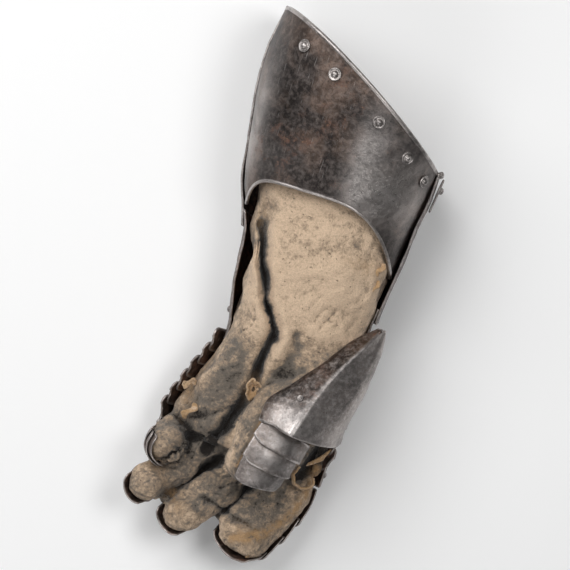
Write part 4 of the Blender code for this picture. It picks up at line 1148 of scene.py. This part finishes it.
class GAUNTLET_OT_thumb(bpy.types.Operator):
    """Builds the thumb's kite-shaped plate, its rivet and its three lames"""

    bl_idname = "gauntlet.thumb"
    bl_label = "Thumb plates"

    def execute(self, context):
        sizes = context.scene.gauntlet_sizes
        share, across = spread(70, (0, 1), 91, (1, -1))
        # Painted light on the thumb plate: its right face is made lighter as a lit face, with a painted
        # highlight along the crest and another near its lower end.
        worn = 0.02 + 0.60 * ease(-0.04, 0.08, across) + 0.4 * bell(across, 0.05)
        worn += 0.8 * bell(share, 0.12, 0.08) * bell(across, 0.35, -0.15)
        # Painted shade: the left face is browned with rust that stands partly for the shade of a face turned
        # from the light.
        plate_piece("thumb_plate", "thumb iron", thumb_arch(share, across), sizes.cuff_wall,
                    dent=sizes.dent_depth, seed=50, worn=worn,
                    rusty=0.75 * ease(0.02, -0.10, across) * ease(0.12, 0.35, share))
        place, axes = seat_on(thumb_arch, *THUMB_RIVET_AT, side=-1)
        profile = dome(0.0016, 0.0006, 0.0003) + THUMB_RIVET_RIM
        seat = (place + axes[2] * (sizes.cuff_wall / 2 + RIVET_GAP), axes)
        turned_piece("thumb_rivet", profile, seat, 0.7)
        rest_far = LAME_REST + LAME_STEP * (1 + SCALE_LAP)
        along, over = spread(20, (0, 1), 90, (-1, 1))
        # Painted highlight: a bright band down the middle of each thumb lame, on some wear all over.
        worn = 0.25 + 0.75 * bell(along, 0.28, 0.35) * bell(over, 0.45, 0.25)
        for number in range(3):
            near = THUMB_LAMES_START + number * THUMB_LAME_PITCH
            grid = tube_lame_grid(thumb_rows(), near, near + THUMB_LAME_PITCH * (1 + SCALE_LAP),
                                  THUMB_LAME_ARC, LAME_REST, rest_far, rows=20, columns=90)
            plate_piece(f"thumb_lame_{number + 1}", "thumb iron", grid, sizes.lame_wall,
                        dent=0.6 * sizes.dent_depth, seed=55 + number, worn=worn, rusty=0.1)
        return {"FINISHED"}


def sleeve_shrink(y):
    """How far the leather lies inside the outer form at y."""
    return smooth([station_length(row.along) for row in SLEEVE], [row.shrink for row in SLEEVE], y)


def tube_rings(tube, count, around, plump=0.0):
    """Rings of a bent tube, rounded off at its tip by a quarter circle, and plumper on the palm side."""
    tip = 1 - 0.08 * (1 - np.sin(np.linspace(0, math.pi / 2, 8)[1:]))
    share = np.concatenate([np.linspace(0.0, 0.92, count), tip])
    share, angle = np.meshgrid(share, circle(around), indexing="ij")
    past = np.clip((share - 0.92) / 0.08, 0, 1)
    rest = -0.85 * min(tube[-1, 3], tube[-1, 4]) * (1 - np.sqrt(1 - 0.995 * past**2))
    rest = rest + plump * ease(-0.45, 0.25, np.sin(angle)) * (1 - past**2) * ease(-0.05, 0.35, share)
    return tube_point(tube, share, angle, rest)


def line_distance(plan, path):
    """Distance of points from a path of straight stretches, and the share of the path nearest to each."""
    path = np.asarray(path, float)
    best = np.full(plan.shape[:-1], 1e9)
    share = np.zeros_like(best)
    for number, (start, end) in enumerate(zip(path[:-1], path[1:])):
        run = end - start
        t = np.clip((plan - start) @ run / (run @ run), 0, 1)
        gap = np.linalg.norm(plan - start - t[..., None] * run, axis=-1)
        share = np.where(gap < best, (number + t) / (len(path) - 1), share)
        best = np.minimum(best, gap)
    return best, share


def finger_gaps():
    """The deep valleys between neighbouring fingers, along the line midway between their middles."""
    rows = [finger_rows(name) for name in FINGERS]
    return [Fold(((first[:, :2] + second[:, :2]) / 2 + WRIST_LINE[:2])[1:4] * MM, -6.5, 2.2, 8, 60)
            for first, second in zip(rows[:-1], rows[1:])]


def folded(points, normal):
    """Heights in metres that the folds add to points of the leather that face up."""
    plan = points[:, :2] * MM
    height = points[:, 2] * MM
    wander = np.stack([ripple(points, 0.020, 71), ripple(points, 0.020, 72)], axis=-1) * 0.55
    total = np.zeros(len(points))
    for fold in FOLDS + finger_gaps():
        gap, share = line_distance(plan + wander, fold.path)
        taper = np.sin(math.pi * np.clip(0.12 + 0.76 * share, 0, 1))
        inside = ease(fold.low - 2, fold.low + 2, height) * (1 - ease(fold.high - 2, fold.high + 2, height))
        total += fold.depth * taper * inside * bell(gap, fold.width)
    return total / MM * ease(0.0, 0.45, normal[:, 2])


def wrinkled(points, normal):
    """Heights of the small wrinkles, as shares of their depth: soft ripples, creases where a ripple
    passes through nought, mostly on the hand, and rings round the knob by the little finger."""
    bent = points * (1.0, 0.55, 1.0) + 0.004 * ripple(points, 0.03, 61)[:, None]
    used = ease(-0.1, 0.9, ripple(points, 0.030, 64)) * (1 - 0.6 * ease(-0.030, 0.010, points[:, 1]))
    wrinkle = 0.9 * ripple(points, 0.019, 63) + 0.22 * ripple(points, 0.0055, 65)
    wrinkle -= 1.6 * used * bell(ripple(bent, 0.016, 62), 0.11)
    small = bell(ripple(points * (0.6, 1.0, 1.0), 0.008, 66), 0.18)
    wrinkle -= 1.1 * (1 - ease(-0.080, -0.030, points[:, 1])) * small
    knob = np.hypot(*(points[:, :2] * MM - KNOB).T)
    rings = np.sin(knob * 2 * math.pi / 2.9) * bell(knob, 8, power=4)
    up = ease(-0.6, 0.2, normal[:, 2])
    return wrinkle * (0.35 + 0.65 * up) + rings * up


def neighbour_mean(values, edges, times):
    """Values averaged with their neighbours along the mesh's edges, a number of times."""
    count = len(values)
    number = np.bincount(edges.ravel(), minlength=count)[:, None]
    for _ in range(times):
        total = np.zeros_like(values)
        for axis in range(values.shape[1]):
            total[:, axis] = (np.bincount(edges[:, 0], values[edges[:, 1], axis], count)
                              + np.bincount(edges[:, 1], values[edges[:, 0], axis], count))
        values = 0.5 * values + 0.5 * total / np.maximum(number, 1)
    return values


def read_vectors(elements, key):
    """One vector of each element of a mesh, as rows."""
    values = np.empty(len(elements) * 3, np.float32)
    elements.foreach_get(key, values)
    return values.reshape(-1, 3).astype(float)


def move_points(mesh, points):
    """Puts a mesh's vertices at new places and returns the normals that they have there."""
    mesh.vertices.foreach_set("co", points.astype(np.float32).ravel())
    mesh.update()
    return read_vectors(mesh.vertex_normals, "vector")


def evaluated(mesh, modifiers):
    """The mesh with modifiers applied, each given as its kind and settings."""
    holder = placed("holder", mesh)
    for kind, settings in modifiers:
        made = holder.modifiers.new(kind, kind)
        for key, value in settings.items():
            setattr(made, key, value)
    depsgraph = bpy.context.evaluated_depsgraph_get()
    result = bpy.data.meshes.new_from_object(holder.evaluated_get(depsgraph))
    bpy.data.objects.remove(holder)
    return result


def glove_outer(sizes):
    """The glove's outer skin: sleeve, fingers and thumb as closed lofts, made one by a voxel remesh,
    smoothed, and cut open at the wrist end."""
    parts = Parts()
    end = station_length(SLEEVE[-1].along)
    y = np.linspace(station_length(SLEEVE[1].along), end + 0.006, 90)
    y = np.concatenate([[station_length(SLEEVE[0].along) + 0.001], y])
    rows, angle = np.meshgrid(y, circle(160), indexing="ij")
    add_loft(parts, form_point(rows, angle, -sleeve_shrink(y)[:, None]))
    for name in FINGERS:
        add_loft(parts, tube_rings(finger_rows(name), 40, 56, sizes.plump))
    add_loft(parts, tube_rings(thumb_rows(), 40, 72))
    mesh = evaluated(parts.mesh("lofts"), [
        ("REMESH", {"mode": "VOXEL", "voxel_size": sizes.voxel}),
        ("SMOOTH", {"factor": 0.5, "iterations": 5}),
    ])
    cut = bmesh.new()
    cut.from_mesh(mesh)
    beyond = [v for v in cut.verts if v.co.y > end + WRIST_LINE[1]]
    bmesh.ops.delete(cut, geom=beyond, context="VERTS")
    cut.to_mesh(mesh)
    cut.free()
    return mesh


class GAUNTLET_OT_glove(bpy.types.Operator):
    """Builds the leather glove with its folds, wrinkles and stains, paler ridges, and painted shade in its
    hollows, creases and on faces turned down
    """

    bl_idname = "gauntlet.glove"
    bl_label = "Leather glove"

    def execute(self, context):
        sizes = context.scene.gauntlet_sizes
        mesh = glove_outer(sizes)
        points = read_vectors(mesh.vertices, "co")
        fold = folded(points, read_vectors(mesh.vertex_normals, "vector"))
        points[:, 2] += fold
        little_side = 1 - ease(-0.036, -0.026, points[:, 0])
        points[:, 0] += SQUEEZE * little_side * bell(points[:, 1], 0.024, power=4)
        normal = move_points(mesh, points)
        points += normal * (sizes.wrinkle_depth * wrinkled(points, normal))[:, None]
        self.stain(mesh, points, move_points(mesh, points), fold)
        mesh = evaluated(mesh, [("SOLIDIFY", {"thickness": sizes.leather_wall, "offset": -1.0})])
        mesh.shade_smooth()
        finish("glove", mesh, "glove leather")
        return {"FINISHED"}

    def stain(self, mesh, points, normal, fold):
        """Writes, at each vertex, painted shade that darkens hollows and makes ridges paler, stains together
        with painted shade in creases and on faces turned down, and how ochre the leather is.  The shade of
        the hollows follows how far the mean of the neighbours lies outside the vertex, near by and further
        round."""
        edges = np.empty(len(mesh.edges) * 2, np.int32)
        mesh.edges.foreach_get("vertices", edges)
        edges = edges.reshape(-1, 2)
        near, wide = (((neighbour_mean(points, edges, times) - points) * normal).sum(axis=1)
                      for times in (6, 40))
        # Painted shade: hollows are darkened and ridges made paler by how far the neighbours' mean lies
        # outside or inside each vertex.
        hollow_shade = np.clip(near / 0.00050, -1, 1) * 0.32 + np.clip(wide / 0.0014, -0.45, 1) * 0.75
        local = points - WRIST_LINE
        stain = 0.9 * patches(STAINS, local) + 0.02 + 0.68 * (1 - ease(-0.060, 0.000, local[:, 1]))
        # Painted shade: leather facing sideways or down is darkened, and creases deeper than 3 mm are painted
        # dark towards near black.
        stain += 0.30 * (1 - ease(-0.2, 0.5, normal[:, 2])) + 0.45 * np.clip(-fold * MM - 3.0, 0, 6)
        ochre = 0.6 * patches(OCHRES, local)
        for line in OCHRE_LINES:
            gap, _ = line_distance(points[:, :2] * MM, line.path)
            ochre += line.depth * bell(gap, line.width)
        write_marks(mesh, (hollow_shade, stain, np.clip(ochre, 0, 1)))


def strap_grid(path, across, width):
    """Grid of a strip along a path, as wide as given in the direction across."""
    reach = np.reshape(width, (-1, 1)) * unit(np.asarray(across, float))
    return path[:, None] + np.linspace(-0.5, 0.5, 7)[None, :, None] * reach[:, None]


class GAUNTLET_OT_bits(bpy.types.Operator):
    """Builds the torn tab, thongs, loops, straps and seam strip of the leather"""

    bl_idname = "gauntlet.bits"
    bl_label = "Leather bits"

    def execute(self, context):
        wall = context.scene.gauntlet_sizes.strap_wall

        def strip(name, grid, stain, ochre):
            waves = 0.00025 * ripple(grid, 0.004, 90)[..., None]
            grid = grid + grid_normals(grid) * waves
            plate_piece(name, "strap leather", grid, wall, edge=0.0, worn=stain, rusty=ochre)

        strip("palm_tab", self.torn_tab(), 0.05, 0.5)
        for name, width in RIBBON_WIDTHS.items():
            strip(name, self.ribbon(name, width), 0.05, 0.45)
        t = np.linspace(0, 1, 40)
        for name, strap in STRAPS.items():
            places = np.linspace(0, 1, len(strap.path))
            path = np.stack([smooth(places, column, t) for column in np.array(strap.path).T / MM], axis=-1)
            width = strap.start + (strap.end - strap.start) * t
            strip(name, strap_grid(path - WRIST_LINE, strap.across, width), strap.stain, strap.ochre)
        share, angle = spread(60, SEAM_REACH, 9, np.radians(SEAM_ARC))
        grid = tube_point(finger_rows("index"), share, angle, wall / 2 + SEAM_GAP)
        strip("index_seam_strip", grid, 0.1, 0.9)
        return {"FINISHED"}

    def node_box(self, name):
        """Low corner, middle and half size of a node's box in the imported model."""
        low, high = (np.array(corner) - WRIST_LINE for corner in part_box(name))
        return low, (low + high) / 2, (high - low) / 2

    def ribbon(self, name, width):
        """A narrow twisted strip that runs through the box of its node from corner to corner, bowed up."""
        low, middle, half = self.node_box(name)
        t = np.linspace(-1, 1, 40)
        along = int(np.argmax(half[:2]))
        path = np.repeat(middle[None], len(t), axis=0)
        path[:, along] += t * half[along] * 0.95
        path[:, 1 - along] += half[1 - along] * (0.55 * np.sin(1.9 * t) + 0.15 * np.sin(5.0 * t))
        path[:, 2] = low[2] + half[2] * (0.4 + 0.7 * np.cos(1.35 * t))
        twist = 0.5 * np.sin(2.2 * t + 0.6)
        across = np.zeros((len(t), 3))
        across[:, 1 - along] = np.cos(twist)
        across[:, 2] = np.sin(twist)
        return strap_grid(path, across, width * (1 - 0.45 * np.abs(t) ** 3))

    def torn_tab(self):
        """A ragged tab round a hole, torn open on one side and curled up on the other."""
        low, middle, half = self.node_box("palm_tab")
        share, angle = spread(9, (0, 1), 64, (0.12, 2 * math.pi - 0.12))
        ragged = 1 + 0.16 * np.sin(3 * angle + 0.7) + 0.08 * np.sin(7 * angle)
        reach = 0.26 + share * (0.86 * ragged - 0.26)
        x = middle[0] + half[0] * reach * np.cos(angle)
        y = middle[1] + half[1] * reach * np.sin(angle)
        z = low[2] + half[2] * (0.5 + 0.9 * share**2 * (1 + np.sin(angle - 0.6)))
        return np.stack([x, y, z], axis=-1)[::-1]


class GAUNTLET_OT_stage(bpy.types.Operator):
    """Builds the pale floor, the soft lights and the camera above the gauntlet"""

    bl_idname = "gauntlet.stage"
    bl_label = "Stage"

    def execute(self, context):
        scene = context.scene
        mesh = bpy.data.meshes.new("floor")
        corners = np.array([(-1, -1, 0), (1, -1, 0), (1, 1, 0), (-1, 1, 0)]) * FLOOR_HALF
        mesh.from_pydata(corners.tolist(), [], [(0, 1, 2, 3)])
        floor = placed("floor", mesh)
        floor.location.z = -FLOOR_DROP
        paint = bpy.data.materials.new("floor paint")
        paint.use_nodes = True
        shader = paint.node_tree.nodes["Principled BSDF"]
        shader.inputs["Base Color"].default_value = scene.gauntlet_colours.floor
        shader.inputs["Roughness"].default_value = FLOOR_ROUGHNESS
        mesh.materials.append(paint)
        world = bpy.data.worlds.new("studio")
        world.use_nodes = True
        tree = world.node_tree
        heading = node(tree, "ShaderNodeTexCoord").outputs["Generated"]
        height = node(tree, "ShaderNodeSeparateXYZ", {"Vector": heading}).outputs["Z"]
        glow = between(tree, height, *SKY_HEIGHTS, *SKY_GLOW)
        tree.links.new(glow, tree.nodes["Background"].inputs["Strength"])
        scene.world = world
        scene.view_settings.view_transform = "Standard"
        for light in LIGHTS:
            data = bpy.data.lights.new(light.name, "AREA")
            data.size = light.size
            data.energy = light.power
            lamp = placed(light.name, data)
            lamp.location = light.place
            aim = np.array(LIGHTS_AIM) - light.place
            lamp.rotation_euler = (math.atan2(math.hypot(aim[0], aim[1]), -aim[2]), 0.0,
                                   math.atan2(aim[1], aim[0]) - math.pi / 2)
        data = bpy.data.cameras.new("camera")
        data.sensor_width = CAMERA_SENSOR
        data.lens = CAMERA_LENS
        camera = placed("camera", data)
        camera.location = CAMERA_PLACE
        camera.rotation_euler = (0.0, 0.0, CAMERA_TURN)
        scene.camera = camera
        return {"FINISHED"}


class GAUNTLET_PT_panel(bpy.types.Panel):
    """Lists the sizes, the colours and the pieces of the gauntlet"""

    bl_idname = "GAUNTLET_PT_panel"
    bl_label = "Armour gauntlet"
    bl_space_type = "VIEW_3D"
    bl_region_type = "UI"
    bl_category = "Gauntlet"

    def draw(self, context):
        layout = self.layout
        for group in (context.scene.gauntlet_sizes, context.scene.gauntlet_colours):
            for key in group.__annotations__:
                layout.prop(group, key)
        for operator in OPERATORS:
            layout.operator(operator.bl_idname)


OPERATORS = (GAUNTLET_OT_cuff, GAUNTLET_OT_rivets, GAUNTLET_OT_hand, GAUNTLET_OT_fingers,
             GAUNTLET_OT_thumb, GAUNTLET_OT_glove, GAUNTLET_OT_bits, GAUNTLET_OT_stage)
CLASSES = (GauntletSizes, GauntletColours) + OPERATORS + (GAUNTLET_PT_panel,)


def register():
    """Registers the classes and hangs the sizes and colours on the scene."""
    for kind in CLASSES:
        bpy.utils.register_class(kind)
    bpy.types.Scene.gauntlet_sizes = bpy.props.PointerProperty(type=GauntletSizes)
    bpy.types.Scene.gauntlet_colours = bpy.props.PointerProperty(type=GauntletColours)


def unregister():
    """Takes away what register has added."""
    del bpy.types.Scene.gauntlet_colours
    del bpy.types.Scene.gauntlet_sizes
    for kind in reversed(CLASSES):
        bpy.utils.unregister_class(kind)


def main():
    """Registers the classes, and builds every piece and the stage."""
    register()
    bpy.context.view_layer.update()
    for operator in OPERATORS:
        group, name = operator.bl_idname.split(".")
        getattr(getattr(bpy.ops, group), name)()


if __name__ == "__main__":
    main()
